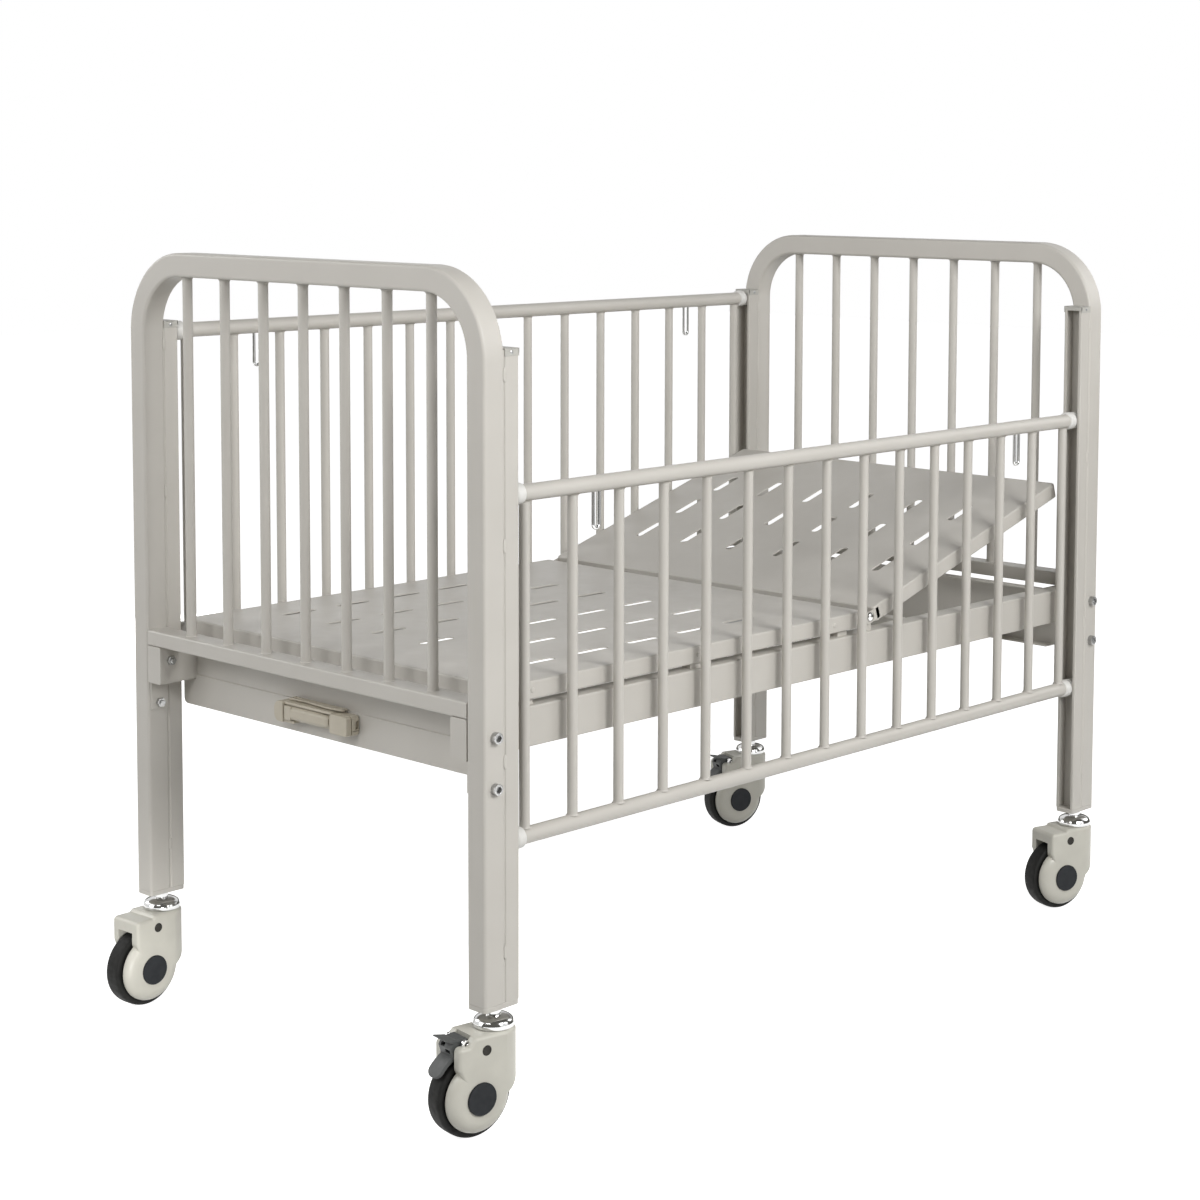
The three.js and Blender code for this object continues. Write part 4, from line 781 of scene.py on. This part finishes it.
def crank_arm():
    """A back plate, a ledge over the grip and a closed rounded outer end."""
    lo, hi = cot_box("crank_arm")
    top = hi.z - ARM_LIP_RISE
    plate, cheek = 6 * MM, 4.5 * MM
    bm = bmesh.new()
    corners = [(lo.y, lo.z), (hi.y, lo.z), (hi.y, top), (lo.y, top)]
    body = rounded(corners, [3 * MM, 12 * MM, 12 * MM, 3 * MM], 8)
    prism(bm, body, hi.x - plate, hi.x, along_x(), 1.2 * MM)
    root = hi.y - 43.5 * MM
    tip = hi.y - 22 * MM
    front = cot_box("crank_grip")[0].x
    corners = [(tip, lo.z), (hi.y, lo.z), (hi.y, top), (tip, top)]
    outer = rounded(corners, [2.2 * MM, 12 * MM, 12 * MM, 2.2 * MM], 8)
    prism(bm, outer, front, hi.x - MM, along_x(), 2 * MM)
    for low, start in ((lo.z, root), (top - cheek, lo.y)):
        middle = (start + tip) / 2 + MM
        ledge = rounded_rect(tip - start + 4 * MM, cheek, 1.6 * MM)
        prism(bm, ledge, lo.x + 4.5 * MM, hi.x - MM, along_x((0, middle, low + cheek / 2)), 1.2 * MM)
    return bm


def crank_lip():
    """The raised lip along the back of the arm's top: a wavy front edge, and an eye at its outer end."""
    lo, hi = cot_box("crank_arm")
    low = hi.z - ARM_LIP_RISE
    start, end = lo.y - 14 * MM, hi.y - 24 * MM
    front = []
    count = 40
    for k in range(count + 1):
        t = k / count
        reach = (13.5 + 2 * cos(2 * pi * (t * 1.1 - 0.3))) * MM
        front.append(Vector((hi.x - reach, start + (end - start) * t)))
    outline = front[::-1] + [Vector((hi.x - 9 * MM, start - 3 * MM)), Vector((hi.x, start)), Vector((hi.x, end))]
    bm = bmesh.new()
    prism(bm, outline, low + 1.6 * MM, hi.z, along_z(), 1.3 * MM)
    return bm


def lip_root():
    """Joins the lip to the arm, set back so that the lip's front edge stands free."""
    lo, hi = cot_box("crank_arm")
    low = hi.z - ARM_LIP_RISE
    bm = bmesh.new()
    root = rounded_rect(7 * MM, hi.y - lo.y - 40 * MM, MM)
    prism(bm, root, low - MM, low + 2.6 * MM, along_z((hi.x - 3.6 * MM, (lo.y + hi.y) / 2 - 6 * MM, 0)))
    return bm


def lip_eye():
    """The slit through the lip's outer end."""
    lo, hi = cot_box("crank_arm")
    low = hi.z - ARM_LIP_RISE
    bm = bmesh.new()
    slit = rounded_rect(6.5 * MM, 18 * MM, 3 * MM)
    prism(bm, slit, low - 3 * MM, hi.z + MM, along_z((hi.x - 6.5 * MM, hi.y - 37 * MM, 0)))
    return bm


def crank_grip():
    lo, hi = cot_box("crank_grip")
    x, z = (lo.x + hi.x) / 2, (lo.z + hi.z) / 2
    thick, high = hi.x - lo.x, hi.z - lo.z
    bm = bmesh.new()
    count = 24
    rings = []
    for k in range(count + 1):
        t = k / count
        y = lo.y + (hi.y - thick / 2 - lo.y) * t
        close = min(1.0, (t * (hi.y - lo.y)) / (5 * MM))
        swell = 0.88 + 0.12 * sin(pi / 2 * min(1, t * 1.5))
        grow = swell * (0.72 + 0.28 * (1 - (1 - close) ** 2) ** 0.5)
        section = rounded_rect(thick * grow - 0.5 * MM, high * grow - 0.5 * MM, 7.4 * MM * grow, 7)
        rings.append([Vector((x + p.x, y, z + p.y)) for p in section])
    sweep(bm, rings)
    pivot = hi.y - thick / 2
    reach = thick / 2
    corners = [(x - reach, pivot - reach), (x + reach, pivot - reach), (x + reach, hi.y), (x - reach, hi.y)]
    eye = rounded(corners, [MM, MM, reach * 0.98, 3 * MM], 8)
    prism(bm, eye, z - high / 2, z + high / 2, along_z(), MM)
    return bm


piece("crank_hub_block", hub_block(), BEIGE, "crank", ("crank_hub",), smooth=40)
piece("crank_arm_fork", crank_arm(), BEIGE, "crank", ("crank_arm",), smooth=40)
piece("crank_arm_lip", boolean(crank_lip(), lip_eye()), BEIGE, "crank", smooth=40)
piece("crank_lip_root", lip_root(), BEIGE, "crank", smooth=40)
piece("crank_grip_barrel", crank_grip(), BEIGE, "grip", ("crank_grip",), smooth=40)


# Casters, drawn about the swivel axis with the wheel trailing to -X
def caster_turn(corner):
    axis = JOINTS[corner + "_roll"]["axis"]
    lo, hi = cot_box(corner + "_caster_stem")
    middle = (lo + hi) / 2
    return Matrix.Translation(Vector((middle.x, middle.y, 0))) @ Matrix.Rotation(atan2(-axis[0], axis[1]), 4, "Z")


def about_axle(y=0):
    return along_y((-TRAIL, y, WHEEL_R))


def body_outline(brake):
    """Side view of a housing's body: a nose ahead, a hood or cheeks behind, its foot on the disc cover."""
    nose = TRAIL + COVER_WIDTH / 2 + MM
    top = HOUSING_TOP
    tail, step, ahead, run = [size * MM for size in ((37, 11, -9, 10.5) if brake else (33, 4.5, 4, 4.5))]
    points = [(nose, 22 * MM), (nose, top), (ahead, top), (ahead - run, top - step), (-tail, top - step)]
    points += [(-tail, 47 * MM), (-20 * MM, 13 * MM), (15 * MM, -20 * MM), (46 * MM, -4 * MM)]
    return rounded(points, [size * MM for size in (14, 7, 6, 2, 7, 10, 0, 6, 10)])


def disc_cover(bm):
    """The disc covers with their round rims, still joined across the wheel."""
    half = COVER_WIDTH / 2 + 0.02 * MM
    out, deep = COVER_RIM
    rim = [(COVER_R - out + out * p.x, half - deep + deep * p.y) for p in arc((0, 0), 1, 90, 0, 10)]
    profile = [(0, half)] + rim + [(r, -z) for r, z in reversed(rim)] + [(0, -half)]
    lathe(bm, profile, axes((-TRAIL, 0, WHEEL_R), (1, 0, 0), (0, 1, 0)), 96)


def bullet_plan():
    """Plan of a housing: a round nose about the swivel axis that opens slowly towards the tail."""
    bend = 75
    reach = COVER_WIDTH / 2 - 0.7 * MM
    back = 150 * MM
    wide = reach * sin(radians(bend)) + (back + reach * cos(radians(bend))) / tan(radians(bend))
    return arc((0, 0), reach, -bend, bend, 40) + [Vector((-back, wide)), Vector((-back, -wide))]


def housing(brake):
    half = COVER_WIDTH / 2
    bm = bmesh.new()
    prism(bm, body_outline(brake), -half, half, about_axle(), COVER_EDGE, 5)
    disc = bmesh.new()
    disc_cover(disc)
    bm = boolean(bm, disc, "UNION")
    plan = bmesh.new()
    prism(plan, bullet_plan(), -20 * MM, WHEEL_R + HOUSING_TOP + 0.2 * MM, along_z(), COVER_EDGE, 5)
    bm = boolean(bm, plan, "INTERSECT")
    space = bmesh.new()
    slot = 18 * MM
    prism(space, arc((0, 0), WHEEL_R + 4 * MM, 0, 354, 59), -slot, slot, about_axle())
    bm = boolean(bm, space)
    opening = bmesh.new()
    ahead, up = (-8 * MM, 100 * MM) if brake else (-15 * MM, 66 * MM)
    box = [Vector(p) for p in ((-0.12, 0), (ahead, 0), (ahead, up), (-0.12, up))]
    prism(opening, box, -slot, slot, about_axle())
    return boolean(bm, opening)


def wheel():
    half = WHEEL_WIDTH / 2
    r = WHEEL_R
    side = [(6.4 * MM, half - MM), (24 * MM, half - MM), (27 * MM, half - 4 * MM), (48 * MM, half - 4 * MM)]
    side += [(51 * MM, half - 1.2 * MM), (54 * MM, half), (r - 4 * MM, half), (r - 2 * MM, half - 0.8 * MM)]
    side += [(r - 0.9 * MM, half - 2.2 * MM), (r - 0.3 * MM, half - 4.5 * MM), (r, half - 9 * MM)]
    profile = [(a, -b) for a, b in side] + [(a, b) for a, b in reversed(side)]
    bm = bmesh.new()
    lathe(bm, profile, axes((-TRAIL, 0, WHEEL_R), (1, 0, 0), (0, 1, 0)), 72, True)
    return bm


def axle():
    face = COVER_WIDTH / 2 + 0.1 * MM
    out = face + 3.1 * MM
    r = 24 * MM
    side = [(6 * MM, face), (r, face), (r, out - 1.2 * MM), (r - 0.5 * MM, out - 0.3 * MM), (r - 1.4 * MM, out)]
    side += [(r - 3 * MM, out - 0.4 * MM), (0, out - 0.6 * MM)]
    profile = [(a, -b) for a, b in reversed(side)] + side
    bm = bmesh.new()
    lathe(bm, profile, axes((-TRAIL, 0, WHEEL_R), (1, 0, 0), (0, 1, 0)), 64)
    return bm


def stem():
    foot = WHEEL_R + HOUSING_TOP + 0.3 * MM
    top = LEG_FOOT - 0.6 * MM
    rim = [(0, 0), (29, 0), (30.2, 0.8), (30.6, 2), (30.6, 6), (30.1, 7.2)]
    rim += [(12 + p.x, 7.4 + p.y * 0.54) for p in arc((0, 0), 17.6, 8, 88, 10)]
    profile = [(r * MM, foot + z * MM) for r, z in rim]
    profile += [(11 * MM, foot + 17 * MM), (11 * MM, top), (0, top)]
    bm = bmesh.new()
    lathe(bm, profile, along_z(), 64)
    return bm


def pedal_pivot():
    return axes((-TRAIL + PEDAL_BACK, 0, WHEEL_R + PEDAL_UP), (1, 0, 0), (0, 1, 0))


def pedal_blade(bm):
    """The brake shoe that follows the tyre, with a rounded lower end."""
    middle = WHEEL_R + 8.5 * MM
    first, last = 110, 150
    steps = 26
    rings = []
    for k in range(steps + 1):
        angle = radians(first + (last - first) * (1 - (1 - k / steps) ** 1.6))
        left = (radians(last) - angle) * middle
        close = 1 - min(1, left / (11 * MM))
        width = 2 * PEDAL_HALF * (0.12 + 0.88 * (1 - close ** 2) ** 0.5)
        section = rounded_rect(5.6 * MM, width, min(2.4 * MM, width * 0.45), 4)
        out = Vector((cos(angle), 0, sin(angle)))
        centre = Vector((-TRAIL, 0, WHEEL_R)) + out * middle
        rings.append([centre + out * p.x + Vector((0, p.y, 0)) for p in section])
    sweep(bm, rings)


def pedal_body():
    """The moulded block over the shoe, with two dark pockets in its outer face."""
    corners = [(-37, 60), (-22, 66), (-10, 74), (-10, 84), (-15, 88), (-36, 86.5), (-42, 76)]
    outline = rounded([Vector(p) * MM for p in corners], [2.5 * MM] * len(corners), 4)
    bm = bmesh.new()
    prism(bm, outline, -PEDAL_HALF, PEDAL_HALF, about_axle(), 1.6 * MM)
    pockets = bmesh.new()
    for y, z, wide in ((-6.5 * MM, 71 * MM, 12 * MM), (5.5 * MM, 79 * MM, 9 * MM)):
        box = rounded_rect(20 * MM, 5.5 * MM, 1.2 * MM)
        prism(pockets, box, y - wide / 2, y + wide / 2, about_axle() @ along_z((-44 * MM, z, 0)))
    return boolean(bm, pockets)


def pedal():
    bm = pedal_body()
    pedal_blade(bm)
    corners = [(-42, 85.6), (-30, 82), (-30, 87.5), (-50.4, 91.4), (-52, 90.2)]
    tab = rounded([Vector(p) * MM for p in corners], 0.7 * MM, 3)
    prism(bm, tab, -PEDAL_HALF, PEDAL_HALF, about_axle(), 0.6 * MM)
    for radius, half in ((7 * MM, PEDAL_HALF), (3 * MM, PEDAL_HALF + 5 * MM)):
        lathe(bm, [(0, -half), (radius, -half), (radius, half), (0, half)], pedal_pivot(), 28)
    return bm


def pedal_ears():
    """Two bracket cheeks with riveted pivots."""
    bm = bmesh.new()
    back, up = PEDAL_BACK, PEDAL_UP
    ear = arc((back - 2 * MM, up), 7 * MM, 0, 180, 16)
    ear += [Vector((back - 9 * MM, 71 * MM)), Vector((back + 5 * MM, 71 * MM))]
    for side in (-1, 1):
        span = sorted((side * 18.3 * MM, side * 23.3 * MM))
        prism(bm, ear, span[0], span[1], about_axle(), 0.8 * MM)
        place = axes((-TRAIL + back, side * 23.3 * MM, WHEEL_R + up), (1, 0, 0), (0, side, 0))
        rivet(bm, place, 2.2 * MM, 1.4 * MM)
    return bm


def pedal_rings():
    """Dark washers round the riveted pivots."""
    bm = bmesh.new()
    for side in (-1, 1):
        place = axes((-TRAIL + PEDAL_BACK, side * 23.3 * MM, WHEEL_R + PEDAL_UP), (1, 0, 0), (0, side, 0))
        lathe(bm, [(0, -MM), (3.9 * MM, -MM), (3.9 * MM, 0.4 * MM), (0, 0.4 * MM)], place, 28)
    return bm


def cover_caps():
    bm = bmesh.new()
    for side in (-1, 1):
        face = COVER_WIDTH / 2
        place = axes((-TRAIL + 9 * MM, side * face, WHEEL_R + 69 * MM), (1, 0, 0), (0, side, 0))
        profile = [(0, -1), (7.6, -1), (7.6, 0.2), (7, 0.7), (6, 0.5), (0, 0.3)]
        lathe(bm, [(r * MM, z * MM) for r, z in profile], place, 36)
    return bm


for corner in CORNERS:
    turn = caster_turn(corner)
    brake = corner in BRAKED
    body = corner + "_caster"
    piece(corner + "_cover", housing(brake), COVER, body, (corner + "_caster_housing",), 0.8 * MM, 40, turn)
    piece(corner + "_tyre", wheel(), TYRE, corner + "_wheel", (corner + "_caster_wheel",), turn=turn)
    piece(corner + "_axle_caps", axle(), SLATE, body, (corner + "_caster_axle",), turn=turn)
    piece(corner + "_dome", stem(), CHROME, "frame", (corner + "_caster_stem",), turn=turn)
    piece(corner + "_cover_caps", cover_caps(), DARK, body, turn=turn)
    if brake:
        piece(corner + "_pedal_arm", pedal(), PEDAL, corner + "_pedal", (corner + "_brake_pedal",), 0.8 * MM, turn=turn)
        piece(corner + "_pedal_ears", pedal_ears(), CHROME, body, turn=turn)
        piece(corner + "_pedal_rings", pedal_rings(), DARK, body, turn=turn)


# Fasteners and small fittings
def socket_screw(bm, place, radius, head):
    """A cap screw: round head, rounded rim and a six-sided socket."""
    count = 36
    socket = radius * 0.55

    def ring(reach, z, six_sided=False):
        points = []
        for k in range(count):
            angle = 2 * pi * k / count
            r = reach / cos(angle % (pi / 3) - pi / 6) if six_sided else reach
            points.append(place @ Vector((r * cos(angle), r * sin(angle), z)))
        return points

    rings = [ring(radius, -MM), ring(radius, head - 1.4 * MM), ring(radius - 0.4 * MM, head - 0.4 * MM)]
    rings += [ring(radius - 1.4 * MM, head), ring(socket * 1.2, head), ring(socket, head - 0.4 * MM, True)]
    rings += [ring(socket, head - 5 * MM, True)]
    sweep(bm, rings)


def hex_nut(bm, place, flat, thick):
    """A nut with chamfered corners and the screw's end standing out of it."""
    levels = ((0.0, 0.94), (0.12, 1.0), (0.88, 1.0), (1.0, 0.94))
    rings = []
    for level, grow in levels:
        r = flat / 2 / cos(pi / 6) * grow
        angles = [pi / 3 * k for k in range(6)]
        rings.append([place @ Vector((r * cos(a), r * sin(a), thick * level)) for a in angles])
    sweep(bm, rings)
    r = flat * 0.3
    lathe(bm, [(0, 0), (r, 0), (r, thick + 2 * MM), (r - 0.8 * MM, thick + 2.8 * MM), (0, thick + 2.8 * MM)], place, 24)


def leg_bolts():
    bm = bmesh.new()
    beam_lo, beam_hi = cot_box("far_side_beam")
    backs = (beam_lo.y, beam_hi.y - 3 * MM)
    for corner in CORNERS:
        end, side = sign_of(corner)
        for z, back in zip(BOLT_HEIGHTS, backs):
            outward = axes((end * LEG_X, side * SIDE_Y, z), (1, 0, 0), (0, side, 0))
            socket_screw(bm, outward, BOLT_HEAD_R, BOLT_HEAD)
            inward = axes((end * LEG_X, side * back, z), (1, 0, 0), (0, -side, 0))
            hex_nut(bm, inward, 14 * MM, 6.5 * MM)
    return bm


def deck_rivets():
    bm = bmesh.new()
    lo, hi = cot_box("foot_deck_panel")
    for side in (-1, 1):
        for x in (lo.x + 60 * MM, (lo.x + hi.x) / 2, hi.x - 82 * MM):
            rivet(bm, axes((x, side * hi.y, hi.z - 14 * MM), (1, 0, 0), (0, side, 0)), 4.2 * MM, 1.6 * MM)
    return bm


def channel_caps():
    """Moulded caps on the channels: a lid with a skirt on three sides."""
    bm = bmesh.new()
    wide = TUBE_ACROSS + 2 * CAP_PROUD
    for corner in CORNERS:
        end, side = sign_of(corner)
        lo, hi = cot_box(corner + "_channel")
        face = abs(hi.x if end < 0 else lo.x) - CAP_PROUD
        back = END_X - TUBE_ALONG - 0.3 * MM
        middle = end * (face + back) / 2
        y = side * LEG_Y
        top = channel_top(corner) + CAP_LID
        prism(bm, rounded_rect(back - face, wide, 3 * MM), top - CAP_LID, top, along_z((middle, y, 0)), 0.8 * MM)
        for wall in (-1, 1):
            span = sorted((y + wall * wide / 2, y + wall * (wide / 2 - 1.5 * MM)))
            skirt = rounded_rect(back - face, CAP_SKIRT, 0.8 * MM)
            prism(bm, skirt, span[0], span[1], along_y((middle, 0, top - CAP_SKIRT / 2)), 0.3 * MM)
        span = sorted((end * face, end * (face + 1.8 * MM)))
        front = rounded_rect(wide, CAP_FRONT, 0.8 * MM)
        prism(bm, front, span[0], span[1], along_x((0, y, top - CAP_FRONT / 2)), 0.3 * MM)
    return bm


def cap_screws():
    bm = bmesh.new()
    for corner in CORNERS:
        end, side = sign_of(corner)
        lo, hi = cot_box(corner + "_channel")
        for wall in (-1, 1):
            y = side * LEG_Y + wall * (TUBE_ACROSS / 2 + CAP_PROUD)
            middle = end * (END_X - TUBE_ALONG - 13 * MM)
            place = axes((middle, y, channel_top(corner) - 4 * MM), (1, 0, 0), (0, wall, 0))
            rivet(bm, place, 3.2 * MM, 0.9 * MM)
    return bm


def leg_seams():
    """Paint-filled seams between the legs and the channels."""
    bm = bmesh.new()
    for corner in CORNERS:
        end, side = sign_of(corner)
        low = cot_box(corner + "_channel")[0].z + FOOT_PLATE
        for wall in (-1, 1):
            y = side * LEG_Y + wall * (TUBE_ACROSS / 2 - 3.2 * MM)
            place = along_z((end * (END_X - TUBE_ALONG), y, 0))
            prism(bm, rounded_rect(5 * MM, 3.2 * MM, 0.8 * MM), low, channel_top(corner), place)
    return bm


def weld_beads():
    """Short stitches across the groove between a leg and its channel."""
    bm = bmesh.new()
    groove = END_X - TUBE_ALONG
    for corner in CORNERS:
        end, side = sign_of(corner)
        for z in (channel_top(corner) - 35 * MM, 850 * MM, 540 * MM, 262 * MM):
            for face in (-1, 1):
                y = side * LEG_Y + face * TUBE_ACROSS / 2
                bead(bm, end * groove, y, z, 10 * MM)
    return bm


def bead(bm, x, y, z, half):
    rings = []
    for k in range(25):
        t = -1 + 2 * k / 24
        r = (2.4 + 0.12 * cos(pi * 6 * t)) * MM * max(0.12, (1 - t ** 4)) ** 0.5
        rings.append([Vector((x + r * 1.3 * cos(2 * pi * i / 16), y + 0.4 * r * sin(2 * pi * i / 16), z + half * t))
                      for i in range(16)])
    sweep(bm, rings)


piece("leg_bolts", leg_bolts(), STEEL, "frame", smooth=40)
piece("deck_rivets", deck_rivets(), PAINT, "frame")
piece("channel_caps", channel_caps(), PLUG, "frame")
piece("cap_screws", cap_screws(), STEEL, "frame")
piece("leg_seams", leg_seams(), PAINT, "frame")
piece("weld_beads", weld_beads(), PAINT, "frame")


# Camera
def camera():
    data = bpy.data.cameras.new("camera")
    data.sensor_width = SENSOR
    data.lens = FOCAL_PIXELS / PHOTO_SIZE * SENSOR
    data.shift_x = 0.5 - PRINCIPAL_POINT[0] / PHOTO_SIZE
    data.shift_y = PRINCIPAL_POINT[1] / PHOTO_SIZE - 0.5
    data.clip_end = 50
    forward = Vector((sin(CAMERA_YAW) * cos(CAMERA_PITCH), cos(CAMERA_YAW) * cos(CAMERA_PITCH), sin(CAMERA_PITCH)))
    level = Vector((cos(CAMERA_YAW), -sin(CAMERA_YAW), 0))
    above = level.cross(forward)
    right = level * cos(CAMERA_ROLL) + above * sin(CAMERA_ROLL)
    up = above * cos(CAMERA_ROLL) - level * sin(CAMERA_ROLL)
    turn = Matrix((right, up, -forward)).transposed().to_4x4()
    obj = bpy.data.objects.new("camera", data)
    obj.matrix_world = Matrix.Translation(Vector(CAMERA_PLACE) + ORIGIN) @ turn
    bpy.context.scene.collection.objects.link(obj)
    bpy.context.scene.camera = obj


# Studio: pale floor, white surroundings, soft lamps
def seen_white(tree, others=("Is Glossy Ray", "Is Transmission Ray")):
    """1 for camera rays and the other named rays, else 0."""
    path = tree.nodes.new("ShaderNodeLightPath")
    total = path.outputs["Is Camera Ray"]
    for name in others:
        add = tree.nodes.new("ShaderNodeMath")
        add.operation = "MAXIMUM"
        tree.links.new(total, add.inputs[0])
        tree.links.new(path.outputs[name], add.inputs[1])
        total = add.outputs["Value"]
    return total


def studio():
    scene = bpy.context.scene
    scene.view_settings.view_transform = "Standard"
    world = bpy.data.worlds.new("studio")
    world.use_nodes = True
    scene.world = world
    tree = world.node_tree
    tree.nodes.clear()
    ambient = tree.nodes.new("ShaderNodeBackground")
    ambient.inputs["Strength"].default_value = 0.06
    white = tree.nodes.new("ShaderNodeBackground")
    white.inputs["Color"].default_value = (1, 1, 1, 1)
    white.inputs["Strength"].default_value = 1.0
    ambient.inputs["Color"].default_value = (1, 1, 1, 1)
    mix = tree.nodes.new("ShaderNodeMixShader")
    output = tree.nodes.new("ShaderNodeOutputWorld")
    tree.links.new(seen_white(tree), mix.inputs["Fac"])
    tree.links.new(ambient.outputs["Background"], mix.inputs[1])
    tree.links.new(white.outputs["Background"], mix.inputs[2])
    tree.links.new(mix.outputs["Shader"], output.inputs["Surface"])

    mesh = bpy.data.meshes.new("floor")
    size = 14
    mesh.from_pydata([(-size, -size, 0), (size, -size, 0), (size, size, 0), (-size, size, 0)], [], [(0, 1, 2, 3)])
    floor = bpy.data.objects.new("floor", mesh)
    scene.collection.objects.link(floor)
    made = bpy.data.materials.new("floor")
    made.use_nodes = True
    tree = made.node_tree
    tree.nodes.clear()
    diffuse = tree.nodes.new("ShaderNodeBsdfDiffuse")
    diffuse.inputs["Color"].default_value = (0.8, 0.8, 0.79, 1)
    bounce = tree.nodes.new("ShaderNodeBsdfDiffuse")
    bounce.inputs["Color"].default_value = (0.5, 0.5, 0.49, 1)
    glow = tree.nodes.new("ShaderNodeEmission")
    coords = tree.nodes.new("ShaderNodeTexCoord")
    away = tree.nodes.new("ShaderNodeVectorMath")
    away.operation = "LENGTH"
    fade = tree.nodes.new("ShaderNodeMapRange")
    for name, value in (("From Min", 1.2), ("From Max", 2.6), ("To Min", 0.88), ("To Max", 1.0)):
        fade.inputs[name].default_value = value
    tree.links.new(coords.outputs["Object"], away.inputs[0])
    tree.links.new(away.outputs["Value"], fade.inputs["Value"])
    tree.links.new(fade.outputs["Result"], glow.inputs["Strength"])
    add = tree.nodes.new("ShaderNodeAddShader")
    mix = tree.nodes.new("ShaderNodeMixShader")
    output = tree.nodes.new("ShaderNodeOutputMaterial")
    tree.links.new(diffuse.outputs["BSDF"], add.inputs[0])
    tree.links.new(glow.outputs["Emission"], add.inputs[1])
    tree.links.new(seen_white(tree), mix.inputs["Fac"])
    tree.links.new(bounce.outputs["BSDF"], mix.inputs[1])
    tree.links.new(add.outputs["Shader"], mix.inputs[2])
    tree.links.new(mix.outputs["Shader"], output.inputs["Surface"])
    mesh.materials.append(made)

    lamps = (("front", (-0.5, -3.3, 2.5), 1.8, 93), ("right", (1.6, -3.2, 2.2), 1.8, 24), ("rear_low", (1.2, 3.3, 0.5), 1.0, 14),
             ("left", (-2.8, -0.8, 2.2), 1.4, 26), ("far_left", (-3.2, 1.0, 1.6), 1.6, 16), ("top", (0, 0.2, 4.0), 3.0, 3),
             ("back", (-1.6, 3.0, 2.0), 1.8, 26), ("head", (3.2, -1.2, 2.0), 1.8, 14))
    for name, place, size, power in lamps:
        data = bpy.data.lights.new(name, "AREA")
        data.shape = "DISK"
        data.size = size
        data.energy = power
        lamp = bpy.data.objects.new(name, data)
        lamp.location = place
        aim = Vector((0, 0, 0.6)) - Vector(place)
        lamp.rotation_euler = aim.to_track_quat("-Z", "Y").to_euler()
        scene.collection.objects.link(lamp)
    data = bpy.data.lights.new("caster_spot", "SPOT")
    data.energy = 55
    data.spot_size = radians(15)
    data.spot_blend = 0.6
    data.shadow_soft_size = 0.15
    spot = bpy.data.objects.new("caster_spot", data)
    spot.location = (-1.5, -0.9, 0.3)
    low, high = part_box("far_foot_caster_housing")
    spot.rotation_euler = ((low + high) / 2 - spot.location).to_track_quat("-Z", "Y").to_euler()
    scene.collection.objects.link(spot)


def mirror_room():
    """A dim ceiling and wall with two tall windows, seen only in mirror reflections."""
    made = bpy.data.materials.new("mirror_room")
    made.use_nodes = True
    tree = made.node_tree
    tree.nodes.clear()
    glow = tree.nodes.new("ShaderNodeEmission")
    glow.inputs["Color"].default_value = (0.13, 0.127, 0.115, 1)
    glow.inputs["Strength"].default_value = 1.0
    output = tree.nodes.new("ShaderNodeOutputMaterial")
    tree.links.new(glow.outputs["Emission"], output.inputs["Surface"])
    reach, step = 2.9, 5
    levels = (0.002, 0.85, 3.1)
    windows = ((30, 75), (225, 310))
    open_back = (100, 260)
    towards_camera = degrees(atan2(CAMERA_PLACE[1], CAMERA_PLACE[0]))
    corners, faces = [], []
    for turn in range(0, 360, step):
        angle = radians(towards_camera + turn)
        corners += [(reach * cos(angle), reach * sin(angle), z) for z in levels]
    count = len(corners)
    for turn in range(0, 360, step):
        first = len(levels) * turn // step
        beside = (first + len(levels)) % count
        if any(start <= turn < end for start, end in windows):
            continue
        faces.append([first, beside, beside + 1, first + 1])
        if not open_back[0] <= turn < open_back[1]:
            faces.append([first + 1, beside + 1, beside + 2, first + 2])
    faces.append(list(range(2, count, len(levels))))
    mesh = bpy.data.meshes.new("mirror_room")
    mesh.from_pydata(corners, [], faces)
    mesh.materials.append(made)
    obj = bpy.data.objects.new("mirror_room", mesh)
    obj.visible_camera = False
    obj.visible_diffuse = False
    obj.visible_shadow = False
    obj.visible_transmission = False
    bpy.context.scene.collection.objects.link(obj)


camera()
studio()
mirror_room()
